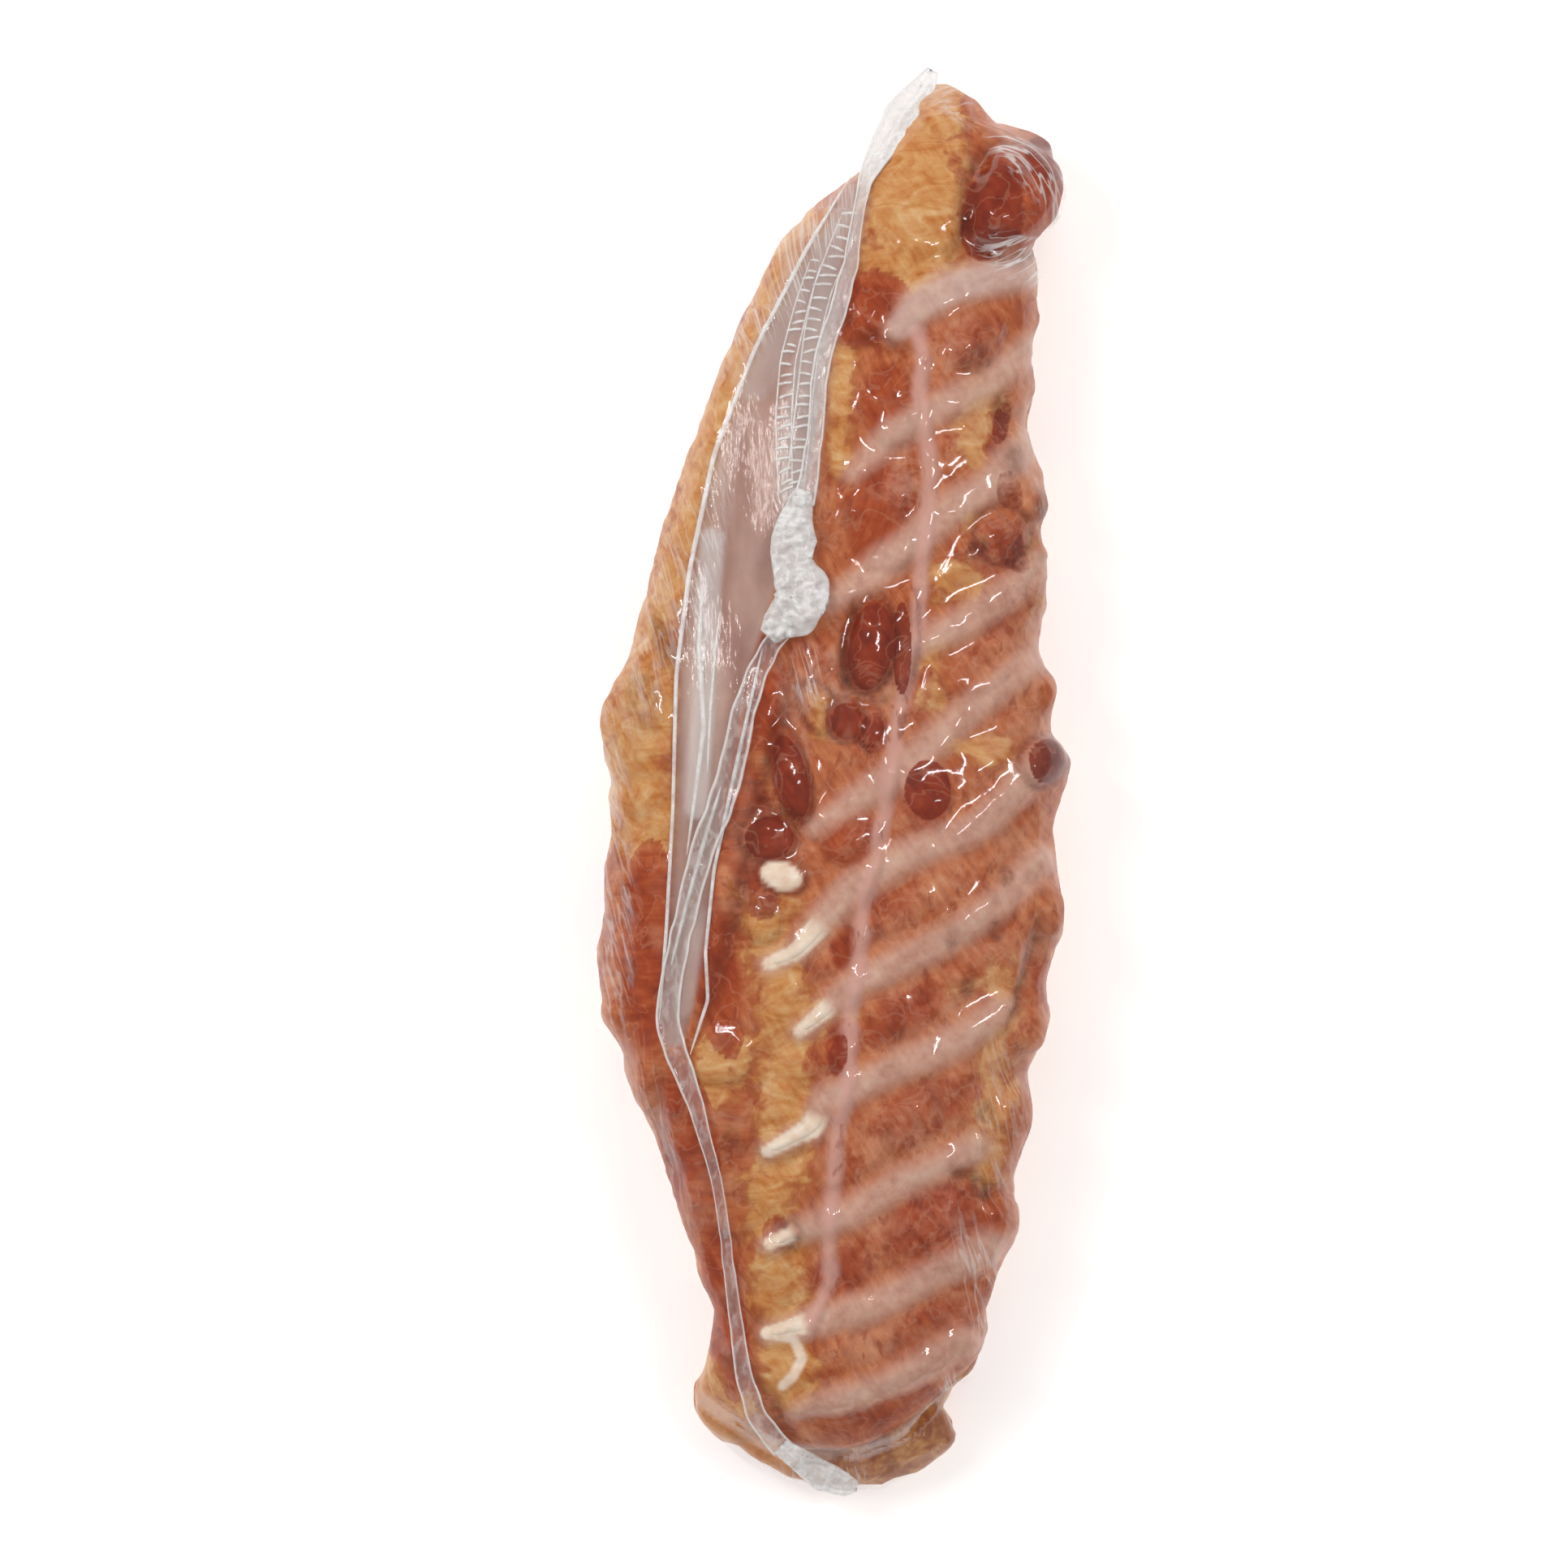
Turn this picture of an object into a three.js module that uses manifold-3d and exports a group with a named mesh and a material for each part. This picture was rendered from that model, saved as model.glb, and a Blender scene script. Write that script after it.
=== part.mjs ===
// A vacuum pack of smoked pork ribs, lying on its back on a table.
// Two rib slabs lie one on the other. The upper one shows its bone side: eleven rib bones in open grooves.
// A clear shrink bag wraps both, and the bag's spare film is folded flat into one long seam over the front.
// Millimetres, +Z up, +Y towards the bag's mouth. The origin is under the middle of the pack, on the table.
import * as THREE from 'three';
import { mergeVertices } from 'three/addons/utils/BufferGeometryUtils.js';
import Module from 'manifold-3d';

const wasm = await Module();
wasm.setup();

// Driving dimensions of the pack.
const HALF_LENGTH = 210; // from the middle to either end of the seam
const FRONT_FULLNESS = 2.5; // superellipse power of the domed front
const BACK_FULLNESS = 3.4; // and of the flatter back
const FLAT_SINK = 1.6; // how much of the back the table presses flat
const FILM_WALL = 0.8;
const FIT_GAP = 0.4; // clear air between neighbouring solids
const SLAB_SIDE_INSET = 4.2; // from the pack's outline to the meat
const SLAB_FRONT_INSET = 3.4; // from the pack's front to the meat
const SLAB_BACK_INSET = FILM_WALL + 2 * FIT_GAP; // from the pack's back to the meat
const FRONT_SLAB_EDGE = 6; // height of the front slab's rounded lower edge
const REAR_SLAB_WAIST = 0.62; // where the rear slab is widest, as a share of its height
const FRONT_SLAB_ENDS = [-192, 196];
const REAR_SLAB_ENDS = [-203, 198];
const BONE_HALF_WIDTH = 6;
const BONE_HALF_DEPTH = 4.2;
const BONE_PROUD = 0.9; // how far a rib stands out of its groove
const BONE_END_SCALE = 0.7; // a rib's cut end against its middle
const SEAM_THICKNESS = 1.1;
const SEAM_LIFT = 1; // clear of the bag

// Mesh density.
const BAG_SIDES = 32;
const SLAB_SIDES = 24;
const BONE_SIDES = 10;
const BONE_STEPS = 7;
const SEAM_STEPS = 44;
const LEAST_STATION_GAP = 3;

// The pack's outline from above: [y, left edge x, right edge x], from the tail to the mouth.
const OUTLINE = [
  [-207, -12, 18], [-202, -22, 28], [-196, -31, 34.5], [-189, -38, 33], [-181, -40, 36], [-172, -38, 42.5],
  [-158, -36.5, 45.5], [-140, -42, 51], [-122, -48, 53.5], [-104, -53, 57], [-87, -61, 57.5],
  [-70, -68, 63], [-53, -69.5, 65], [-36, -68, 67.5], [-18, -66.5, 65], [0, -66, 69.5], [14, -68.5, 66],
  [28, -66, 63.5], [44, -58.5, 61], [62, -53.5, 62.5], [84, -47, 62], [104, -40, 58], [124, -32, 58],
  [143, -24, 60], [158, -16, 60], [168, -7, 64], [178, 2, 66], [186, 10, 62], [194, 16, 50], [200, 20, 43],
  [207, 28, 34],
];

// Side view of the pack: [y, underside, front], in height above the table.
const SIDE_VIEW = [
  [-207, 10, 28], [-201, 4, 38], [-190, 0, 47], [-140, 0, 58], [-60, 0, 66], [60, 0, 66], [140, 0, 60],
  [176, 0, 51], [190, 3, 43], [200, 9, 33], [207, 14, 22],
];

// Rib centre lines on the front, [x, y], from the cut tip on the left to the chine on the right.
const RIBS = [
  [[19, 132], [34, 142], [51, 147]],
  [[8, 90], [24, 102], [37, 109], [49, 118]],
  [[0, 52], [21, 67], [38, 83], [50, 92]],
  [[16, 31], [36, 44], [50, 55]],
  [[-6, -13], [16, 0], [34, 15], [53, 31]],
  [[-20, -53], [5, -32], [32, -17], [55, -4]],
  [[-9, -73], [8, -59], [35, -45], [54, -30]],
  [[-18, -107], [-3, -94], [27, -80], [49, -66]],
  [[-18, -135], [5, -126], [30, -113], [44, -104]],
  [[-18, -162], [10, -154], [34, -142], [40, -137]],
  [[-10, -177], [6, -174], [18, -171], [27, -167]],
];

// The seam's middle line on the front, [x, y, half width], from the mouth to the tail.
const SEAM = [
  [31, HALF_LENGTH, 2], [29, 202, 3.5], [22, 189, 4], [14, 176, 4.5], [8, 164, 5], [2, 150, 6.5],
  [-5, 130, 8], [-9, 108, 8], [-10, 86, 7.5], [-9, 66, 6.5], [-9, 53, 7], [-20, 38, 4.5], [-27, 19, 4],
  [-33, -2, 4.5], [-42, -28, 4], [-48, -52, 4], [-49, -72, 4.5], [-43, -91, 3.5], [-35, -112, 3],
  [-31.5, -134, 2.8], [-27, -157, 3.2], [-22, -176, 4], [-13, -190, 4], [-3, -201, 4.5],
  [3, -HALF_LENGTH, 3],
];

// Smooth value of one column of a table at y. The table's first column is y, and it rises.
function along(table, column, y) {
  const last = table.length - 1;
  if (y <= table[0][0]) return table[0][column];
  if (y >= table[last][0]) return table[last][column];
  const i = table.findIndex((row) => row[0] > y) - 1;
  const [a, b] = [table[i], table[i + 1]];
  const before = table[Math.max(i - 1, 0)];
  const after = table[Math.min(i + 2, last)];
  const span = b[0] - a[0];
  const t = (y - a[0]) / span;
  const slopeA = ((b[column] - before[column]) / (b[0] - before[0])) * span;
  const slopeB = ((after[column] - a[column]) / (after[0] - a[0])) * span;
  return (
    (2 * t ** 3 - 3 * t ** 2 + 1) * a[column] +
    (t ** 3 - 2 * t ** 2 + t) * slopeA +
    (3 * t ** 2 - 2 * t ** 3) * b[column] +
    (t ** 3 - t ** 2) * slopeB
  );
}

// The pack's cross-section at y: its middle x and half width, and the heights of its back, middle and front.
function sectionAt(y) {
  const left = along(OUTLINE, 1, y);
  const right = along(OUTLINE, 2, y);
  const back = along(SIDE_VIEW, 1, y);
  const front = along(SIDE_VIEW, 2, y);
  return { middle: (left + right) / 2, half: (right - left) / 2, back, front, centre: (back + front) / 2 };
}

// The front slab's heights at y: its underside, its widest line and its top.
function frontSlabHeights(y) {
  const { centre, front } = sectionAt(y);
  const low = centre + FIT_GAP / 2;
  return { low, waist: low + FRONT_SLAB_EDGE, high: front - SLAB_FRONT_INSET };
}

// Height of the front slab's upper face at a point seen from above.
function slabTop(x, y) {
  const { middle, half } = sectionAt(y);
  const { waist, high } = frontSlabHeights(y);
  const across = Math.min(Math.abs(x - middle) / (half - SLAB_SIDE_INSET), 1);
  return waist + (high - waist) * (1 - across ** FRONT_FULLNESS) ** (1 / FRONT_FULLNESS);
}

// A point seen from above, put on the pack's front and lifted off it square to its cross-section.
function onFront(x, y, lift) {
  const { middle, half, centre, front } = sectionAt(y);
  const rise = front - centre;
  const across = (x - middle) / half;
  const up = (1 - Math.abs(across) ** FRONT_FULLNESS) ** (1 / FRONT_FULLNESS);
  const slope = FRONT_FULLNESS - 1;
  const sideways = Math.sign(across) * Math.abs(across) ** slope;
  const normal = new THREE.Vector2(sideways / half, up ** slope / rise).setLength(lift);
  return new THREE.Vector3(x + normal.x, y, centre + rise * up + normal.y);
}

const superPower = (value, fullness) => Math.sign(value) * Math.abs(value) ** (2 / fullness);

// The angles of a ring's points, evenly round from +X through +Z.
function ringAngles(sides) {
  return Array.from({ length: sides }, (_, i) => (i / sides) * 2 * Math.PI);
}

// A ring round the whole pack at y, set in from its surface, and flat where it would pass the table.
function packRing(y, inset) {
  const { middle, half, back, centre, front } = sectionAt(y);
  return ringAngles(BAG_SIDES).map((angle) => {
    const [across, up] = [Math.cos(angle), Math.sin(angle)];
    const fullness = up > 0 ? FRONT_FULLNESS : BACK_FULLNESS;
    const reach = up > 0 ? front - centre - inset : centre - back + FLAT_SINK - inset;
    const z = centre + reach * superPower(up, fullness);
    return new THREE.Vector3(middle + (half - inset) * superPower(across, fullness), y, Math.max(z, inset));
  });
}

// A ring round one slab at y, between its lowest and highest points, widest at its waist.
function slabRing(y, { low, waist, high }) {
  const { middle, half } = sectionAt(y);
  return ringAngles(SLAB_SIDES).map((angle) => {
    const [across, up] = [Math.cos(angle), Math.sin(angle)];
    const reach = up > 0 ? high - waist : waist - low;
    const x = middle + (half - SLAB_SIDE_INSET) * superPower(across, FRONT_FULLNESS);
    return new THREE.Vector3(x, y, waist + reach * superPower(up, FRONT_FULLNESS));
  });
}

// Adds the triangles between successive rings, facing out, or in if reversed, and returns the first point's
// index.
function addSkin(rings, points, faces, reversed = false) {
  const sides = rings[0].length;
  const base = points.length;
  points.push(...rings.flat());
  for (let k = 0; k < rings.length - 1; k++) {
    for (let i = 0; i < sides; i++) {
      const a = base + k * sides + i;
      const b = base + k * sides + ((i + 1) % sides);
      const [c, d] = [a + sides, b + sides];
      faces.push(...(reversed ? [a, b, c, b, d, c] : [a, c, b, b, c, d]));
    }
  }
  return base;
}

function geometryOf(points, faces) {
  return new THREE.BufferGeometry().setFromPoints(points).setIndex(faces);
}

function middleOf(ring) {
  return ring.reduce((sum, p) => sum.add(p), new THREE.Vector3()).divideScalar(ring.length);
}

// A closed body through rings, with a fan over each end.
function loft(rings) {
  const [points, faces] = [[], []];
  addSkin(rings, points, faces);
  const sides = rings[0].length;
  const [firstMiddle, lastMiddle] = [points.length, points.length + 1];
  points.push(middleOf(rings[0]), middleOf(rings[rings.length - 1]));
  const lastRing = (rings.length - 1) * sides;
  for (let i = 0; i < sides; i++) {
    const next = (i + 1) % sides;
    faces.push(firstMiddle, i, next, lastMiddle, lastRing + next, lastRing + i);
  }
  return geometryOf(points, faces);
}

// A bag with a wall: closed over its first ring, with an open mouth at its last.
function bag(outer, inner) {
  const [points, faces] = [[], []];
  addSkin(outer, points, faces);
  const base = addSkin(inner, points, faces, true);
  const sides = outer[0].length;
  const [outerMiddle, innerMiddle] = [points.length, points.length + 1];
  points.push(middleOf(outer[0]), middleOf(inner[0]));
  const outerMouth = (outer.length - 1) * sides;
  const innerMouth = base + (inner.length - 1) * sides;
  for (let i = 0; i < sides; i++) {
    const next = (i + 1) % sides;
    faces.push(outerMiddle, i, next, innerMiddle, base + next, base + i);
    faces.push(outerMouth + i, innerMouth + i, outerMouth + next);
    faces.push(outerMouth + next, innerMouth + i, innerMouth + next);
  }
  return geometryOf(points, faces);
}

function solidOf(geometry) {
  const bare = new THREE.BufferGeometry().setAttribute('position', geometry.getAttribute('position'));
  bare.setIndex(geometry.index);
  const merged = mergeVertices(bare);
  const vertProperties = new Float32Array(merged.getAttribute('position').array);
  const triVerts = new Uint32Array(merged.index.array);
  return new wasm.Manifold(new wasm.Mesh({ numProp: 3, vertProperties, triVerts }));
}

function geometryOfSolid(solid) {
  const { vertProperties, triVerts } = solid.getMesh();
  const geometry = new THREE.BufferGeometry();
  geometry.setAttribute('position', new THREE.BufferAttribute(vertProperties, 3));
  return geometry.setIndex(new THREE.BufferAttribute(triVerts, 1));
}

// A rib: an oval bone along its centre line, sunk in the front slab with its crest just proud.
// Grown a little all round, it is the cutter for the rib's groove.
function ribGeometry(route, growth = 0) {
  const curve = new THREE.CatmullRomCurve3(route.map(([x, y]) => new THREE.Vector3(x, y, 0)));
  const rings = [];
  for (let k = 0; k <= BONE_STEPS; k++) {
    const at = curve.getPointAt(k / BONE_STEPS);
    const ahead = curve.getTangentAt(k / BONE_STEPS);
    const middle = slabTop(at.x, at.y) + BONE_PROUD - BONE_HALF_DEPTH;
    const atEnd = k === 0 || k === BONE_STEPS;
    const scale = atEnd ? BONE_END_SCALE : 1;
    if (atEnd) at.addScaledVector(ahead, k === 0 ? -growth : growth);
    const rightward = new THREE.Vector3(ahead.y, -ahead.x, 0);
    const [halfWidth, halfDepth] = [BONE_HALF_WIDTH * scale + growth, BONE_HALF_DEPTH * scale + growth];
    rings.push(ringAngles(BONE_SIDES).map((angle) => {
      const point = at.clone().addScaledVector(rightward, Math.cos(angle) * halfWidth);
      return point.setZ(middle + Math.sin(angle) * halfDepth);
    }));
  }
  return loft(rings);
}

const matte = (color, roughness) => new THREE.MeshStandardMaterial({ color, roughness, metalness: 0 });
const MEAT = matte(0xa5553a, 0.4);
const BONE = matte(0xe8cdb8, 0.5);
const FILM = matte(0xe8e4e2, 0.15);
FILM.transparent = true;
FILM.opacity = 0.3;

function part(name, geometry, material) {
  geometry.computeVertexNormals();
  const mesh = new THREE.Mesh(geometry, material);
  mesh.name = name;
  return mesh;
}

// Where a slab's rings stand: at its two ends and at the outline's own rows between them.
function stations([from, to]) {
  const rows = OUTLINE.map(([y]) => y);
  return [from, ...rows.filter((y) => y > from + LEAST_STATION_GAP && y < to - LEAST_STATION_GAP), to];
}

function frontSlab() {
  const uncut = solidOf(loft(stations(FRONT_SLAB_ENDS).map((y) => slabRing(y, frontSlabHeights(y)))));
  const grooved = RIBS.reduce((slab, route) => slab.subtract(solidOf(ribGeometry(route, FIT_GAP))), uncut);
  return part('front_rib_slab', geometryOfSolid(grooved), MEAT);
}

function rearSlab() {
  const rings = stations(REAR_SLAB_ENDS).map((y) => {
    const { back, centre } = sectionAt(y);
    const low = back + SLAB_BACK_INSET;
    const high = centre - FIT_GAP / 2;
    return slabRing(y, { low, waist: low + (high - low) * REAR_SLAB_WAIST, high });
  });
  return part('rear_rib_slab', loft(rings), MEAT);
}

// The tail is closed. The mouth stays open a little, under the end of the seam.
function filmBag() {
  const outer = OUTLINE.map(([y]) => packRing(y, 0));
  const inner = OUTLINE.map(([y], k) => packRing(k === 0 ? y + FILM_WALL : y, FILM_WALL));
  return part('film_bag', bag(outer, inner), FILM);
}

// The bag's spare film, folded flat: a thin strip over the front, just past the bag at both ends.
function filmSeam() {
  const middle = new THREE.CatmullRomCurve3(SEAM.map(([x, y, w]) => new THREE.Vector3(x, y, w)));
  const rings = [];
  for (let k = 0; k <= SEAM_STEPS; k++) {
    const at = middle.getPoint(k / SEAM_STEPS);
    const edgeOf = (lift) => [1, 0, -1].map((across) => onFront(at.x + at.z * across, at.y, lift));
    rings.push([...edgeOf(SEAM_LIFT), ...edgeOf(SEAM_LIFT + SEAM_THICKNESS).reverse()]);
  }
  return part('film_seam', loft(rings), FILM);
}

const pack = new THREE.Group();
pack.add(frontSlab(), rearSlab(), filmBag(), filmSeam());
RIBS.forEach((route, i) => {
  pack.add(part(`rib_bone_${String(i + 1).padStart(2, '0')}`, ribGeometry(route), BONE));
});

export default pack;
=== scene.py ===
"""A vacuum pack of smoked pork ribs, lying on its back and seen from straight above.

Places are in millimetres in the frame's axes: +X across the pack, +Y towards its mouth, +Z up.
Meshes are made in millimetres and scaled to metres as they are stored.
"""

import math

import bpy
import numpy as np
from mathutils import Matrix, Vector
from mathutils.bvhtree import BVHTree


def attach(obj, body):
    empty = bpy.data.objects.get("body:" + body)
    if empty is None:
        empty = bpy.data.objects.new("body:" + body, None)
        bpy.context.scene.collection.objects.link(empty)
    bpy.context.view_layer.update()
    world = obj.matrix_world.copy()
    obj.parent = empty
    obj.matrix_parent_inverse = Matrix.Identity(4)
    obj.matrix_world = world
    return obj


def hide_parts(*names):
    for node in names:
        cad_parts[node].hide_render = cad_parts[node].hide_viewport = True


MM = 0.001
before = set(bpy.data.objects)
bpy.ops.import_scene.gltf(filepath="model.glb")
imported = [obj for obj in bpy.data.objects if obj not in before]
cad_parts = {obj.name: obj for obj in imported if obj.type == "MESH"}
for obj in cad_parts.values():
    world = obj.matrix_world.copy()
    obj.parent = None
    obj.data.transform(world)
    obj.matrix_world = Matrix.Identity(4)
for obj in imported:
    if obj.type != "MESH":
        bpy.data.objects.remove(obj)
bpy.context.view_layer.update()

# ---------------------------------------------------------------- the pack's form

# Outline from above: [y, left edge x, right edge x], from the tail to the mouth.
OUTLINE = [
    [-209, -8, 17], [-205, -17, 25], [-200, -25, 31], [-195, -31, 35.5], [-190, -38, 33.5], [-184, -40, 33],
    [-178, -39.5, 38], [-172, -38, 42.5], [-164, -36.5, 44.5], [-155, -36.2, 45.5], [-145, -40.5, 48.5],
    [-138, -42, 51.3], [-130, -45.5, 54], [-120, -48, 52.7], [-110, -51, 55], [-100, -55.5, 58.5],
    [-93, -59, 58], [-87, -61.3, 57], [-80, -63, 60], [-72, -67.8, 63.5], [-60, -68.9, 63],
    [-51, -69.6, 65.5], [-42, -67.6, 67.7], [-34, -68, 67.5], [-26, -67.8, 66], [-17, -66.2, 64.3],
    [-9, -66.4, 65.2], [0, -65.8, 69], [6, -67.3, 69.2], [13, -68.6, 64.4], [20, -68.6, 64.2],
    [28, -65.6, 65.4], [36, -60.6, 61], [44, -58, 60.8], [52, -55.8, 62.2], [60, -53.8, 62.6],
    [66, -52.2, 62.9], [73, -50.3, 60.9], [80, -48.4, 63], [88, -45.6, 61.5], [95, -43.2, 59.2],
    [104, -40.2, 57.6], [114, -36.6, 59.4], [124, -32.4, 58.2], [134, -28.4, 59.5], [143, -24, 60.1],
    [152, -19.8, 59.7], [159, -15.4, 58.9], [165, -9.5, 63.4], [171, -2.6, 65.6], [178, 6.4, 66.4],
    [184, 12.6, 65.3], [188, 15.6, 63.5], [190.5, 17.2, 58], [192.5, 18.6, 50.5], [196, 20.6, 46.4],
    [200, 23.4, 43], [204, 26.2, 35.6], [209, 28.6, 31],
]

# Side view: [y, underside, front], in height above the floor.
SIDE_VIEW = [
    [-209, 11, 26], [-201, 4, 37], [-190, 0.4, 46], [-140, 0.4, 58], [-60, 0.4, 66], [60, 0.4, 66],
    [140, 0.4, 60], [176, 0.4, 51], [190, 3, 43], [200, 9, 33], [209, 15, 21],
]
FRONT_FULLNESS = 2.5  # superellipse power of the domed front
BACK_FULLNESS = 3.6  # and of the flatter back
WALL_HALF = 7.0  # half height of the straight side wall between front and back
MEAT_INSET = 0.6  # from the pack's outside to the meat
FILM_CLEARANCE = 0.4

# The front slab's lower end: [x, y]. Past it lies the rear slab's end.
FRONT_END = [
    [-45, -176], [-30, -186], [-18, -194], [-4, -197], [8, -196], [18, -191], [28, -184], [41, -176],
    [50, -173],
]
FRONT_END_Y = -197.0
FRONT_TOP_Y = 205.0
REAR_ENDS = (-208.9, 200.0)  # the rear slab's lower and upper ends
END_ROUND = 12.0  # length over which an end is rounded
END_NARROW = 0.2  # and how much of its width that takes away
LEAST_CAP = 0.05  # height left at the very end, as a share
DOMED, FLAT = 0.45, 0.12  # height to half width of a domed face and of a flat one, for spacing points
ARCH_STEPS = 2000  # fineness of the curve that points are spaced along
CROWDING = 0.15  # how much rows of points crowd towards an end
DROP_START, DROP_LENGTH = 2.5, 7  # where the front slab's lower end starts to fall, and over what length


def curve(table, y, column=1):
    """Smooth value of one column of a table at y, through every row."""
    rows = np.array(table, float)
    at, values = rows[:, 0], rows[:, column]
    slopes = np.gradient(values, at)
    i = np.clip(np.searchsorted(at, y) - 1, 0, len(at) - 2)
    span = at[i + 1] - at[i]
    t = np.clip((y - at[i]) / span, 0, 1)
    return (
        (2 * t**3 - 3 * t**2 + 1) * values[i]
        + (t**3 - 2 * t**2 + t) * slopes[i] * span
        + (3 * t**2 - 2 * t**3) * values[i + 1]
        + (t**3 - t**2) * slopes[i + 1] * span
    )


def smooth(value, low, high):
    """0 below low, 1 above high, and an S-curve between."""
    t = np.clip((value - low) / (high - low), 0, 1)
    return t * t * (3 - 2 * t)


def section(y):
    """The pack at y: middle x, half width, and the heights of its back, centre and front."""
    left, right = curve(OUTLINE, y, 1), curve(OUTLINE, y, 2)
    back, front = curve(SIDE_VIEW, y, 1), curve(SIDE_VIEW, y, 2)
    return (left + right) / 2, (right - left) / 2, back, (back + front) / 2, front


def bell(value, centre, width):
    """1 where value is at centre, and close to 0 from about twice width away."""
    return np.exp(-(((value - centre) / width) ** 2))


def unit_arch(count, fullness, rise):
    """Evenly spaced points (across, up) from +1 to -1 along a half superellipse, drawn rise high."""
    angle = np.linspace(0, math.pi, ARCH_STEPS)
    across = np.sign(np.cos(angle)) * np.abs(np.cos(angle)) ** (2 / fullness)
    up = np.abs(np.sin(angle)) ** (2 / fullness)
    steps = np.hypot(np.diff(across), np.diff(up) * rise)
    walked = np.concatenate([[0], np.cumsum(steps)])
    even = np.linspace(0, walked[-1], count)
    return np.interp(even, walked, across), np.interp(even, walked, up)


def profile(over_columns, over_rise, under_columns, under_fullness, under_rise):
    """A slab's closed outline as (across, up) from -1 to 1, from +X over the top and back underneath."""
    over = unit_arch(over_columns, FRONT_FULLNESS, over_rise)
    under = unit_arch(under_columns, under_fullness, under_rise)
    across = np.concatenate([over[0][:-1], under[0][::-1][:-1]])
    up = np.concatenate([over[1][:-1], -under[1][::-1][:-1]])
    return across, up


def end_cap(distance):
    """1 well inside a rounded end, falling in a quarter circle to almost 0 at the end itself."""
    t = np.clip(distance / END_ROUND, 0, 1)
    return np.maximum(np.sqrt(1 - (1 - t) ** 2), LEAST_CAP)


def narrowed(half, cap):
    """A half width, less what an end's rounding takes away."""
    return half * (1 - END_NARROW + END_NARROW * cap)


def end_spacing(rows):
    """Shares from 0 to 1 for rows that crowd towards both ends."""
    t = np.linspace(0, 1, rows)
    return (1 - CROWDING) * t + CROWDING * (1 - np.cos(t * math.pi)) / 2


def rows(top, bottom, count):
    """The y of each row from top to bottom, as a column, and each row's end cap."""
    y = top + (bottom - top) * end_spacing(count)
    return y[:, None], end_cap(np.minimum(top - y, y - bottom))[:, None]


def end_drop(x, y):
    """0 over the front slab, 1 past its slanted lower end."""
    return smooth(curve(FRONT_END, x) + DROP_START - y, 0, DROP_LENGTH)


# ---------------------------------------------------------------- noise and distances

NOISE_CELLS = 32  # the noise repeats after this many lumps
FAR_AWAY = 1e9


def lattice_noise(points, size, seed):
    """Smooth noise from -1 to 1 at points [..., 3], with lumps about size across."""
    table = np.random.default_rng(seed).uniform(-1, 1, (NOISE_CELLS,) * 3)
    q = points / size
    low = np.floor(q).astype(int)
    f = q - low
    f = f * f * (3 - 2 * f)
    total = 0
    for corner in range(8):
        offset = np.array([corner & 1, corner >> 1 & 1, corner >> 2 & 1])
        i, j, k = np.moveaxis((low + offset) % NOISE_CELLS, -1, 0)
        weight = np.prod(np.where(offset, f, 1 - f), axis=-1)
        total = total + weight * table[i, j, k]
    return total


def rough_noise(points, size, seed, octaves=3, keep=0.5):
    """Lattice noise with finer and fainter layers added."""
    return sum(lattice_noise(points, size / 2**k, seed + k) * keep**k for k in range(octaves))


def to_line(x, y, line):
    """Distance of each (x, y) to a line of points, and the share of the line before its nearest place."""
    route = np.array([p[:2] for p in line], float)
    lengths = np.hypot(*np.diff(route, axis=0).T)
    before = np.concatenate([[0], np.cumsum(lengths)])
    best = np.full(np.shape(x), FAR_AWAY)
    share = np.zeros(np.shape(x))
    for (ax, ay), (bx, by), length, start in zip(route[:-1], route[1:], lengths, before):
        t = np.clip(((x - ax) * (bx - ax) + (y - ay) * (by - ay)) / length**2, 0, 1)
        gap = np.hypot(x - ax - t * (bx - ax), y - ay - t * (by - ay))
        nearer = gap < best
        best = np.where(nearer, gap, best)
        share = np.where(nearer, (start + t * length) / before[-1], share)
    return best, share


def oval(x, y, spot):
    """0 in the middle of an oval (x, y, half width, half height, turn in degrees), and 1 on its rim."""
    cx, cy, rx, ry, turn = spot[:5]
    c, s = math.cos(math.radians(turn)), math.sin(math.radians(turn))
    u = (x - cx) * c + (y - cy) * s
    v = -(x - cx) * s + (y - cy) * c
    return np.hypot(u / rx, v / ry)


def strongest(x, y, spots, edge, fade):
    """The greatest strength at each (x, y) of ovals that fade out before edge times their size."""
    best = np.zeros_like(x)
    for spot in spots:
        best = np.maximum(best, spot[5] * smooth(edge - oval(x, y, spot), 0, fade))
    return best


# ---------------------------------------------------------------- what the front shows

# Rib centre lines, from the cut tip on the left to the chine on the right.
RIBS = [
    [(18, 131), (24, 138), (34, 143.5), (47, 147), (58, 149.5)],
    [(5, 89), (16, 99.5), (24.5, 104.5), (31, 108.5), (43.5, 114.5), (57, 125.5)],
    [(-2, 51), (10.5, 59.5), (24, 70), (32.5, 78), (43.5, 84.5), (57, 99)],
    [(23, 38), (38, 46), (46, 51), (61, 63)],
    [(-6, -13.5), (16, 0), (34, 15.5), (43.5, 23.5), (59, 36)],
    [(-19, -53.5), (-11, -50), (4.5, -32), (19, -23), (32.5, -17.5), (43.5, -12.5), (63, 8)],
    [(-10, -73), (7.5, -58.5), (21.5, -52), (35, -45), (51.5, -33), (59.5, -24)],
    [(-19.5, -108), (-6.5, -101), (-3, -93.5), (13, -86), (27, -80), (38, -75), (48, -67)],
    [(-18.5, -134.5), (5, -126), (18.5, -118), (30, -113), (41, -107)],
    [(-19.5, -161.5), (10.5, -153.5), (21.5, -148.5), (38, -140), (45, -136)],
    [(-10.5, -184), (10, -178.5), (28, -170), (38, -164)],
]
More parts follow.
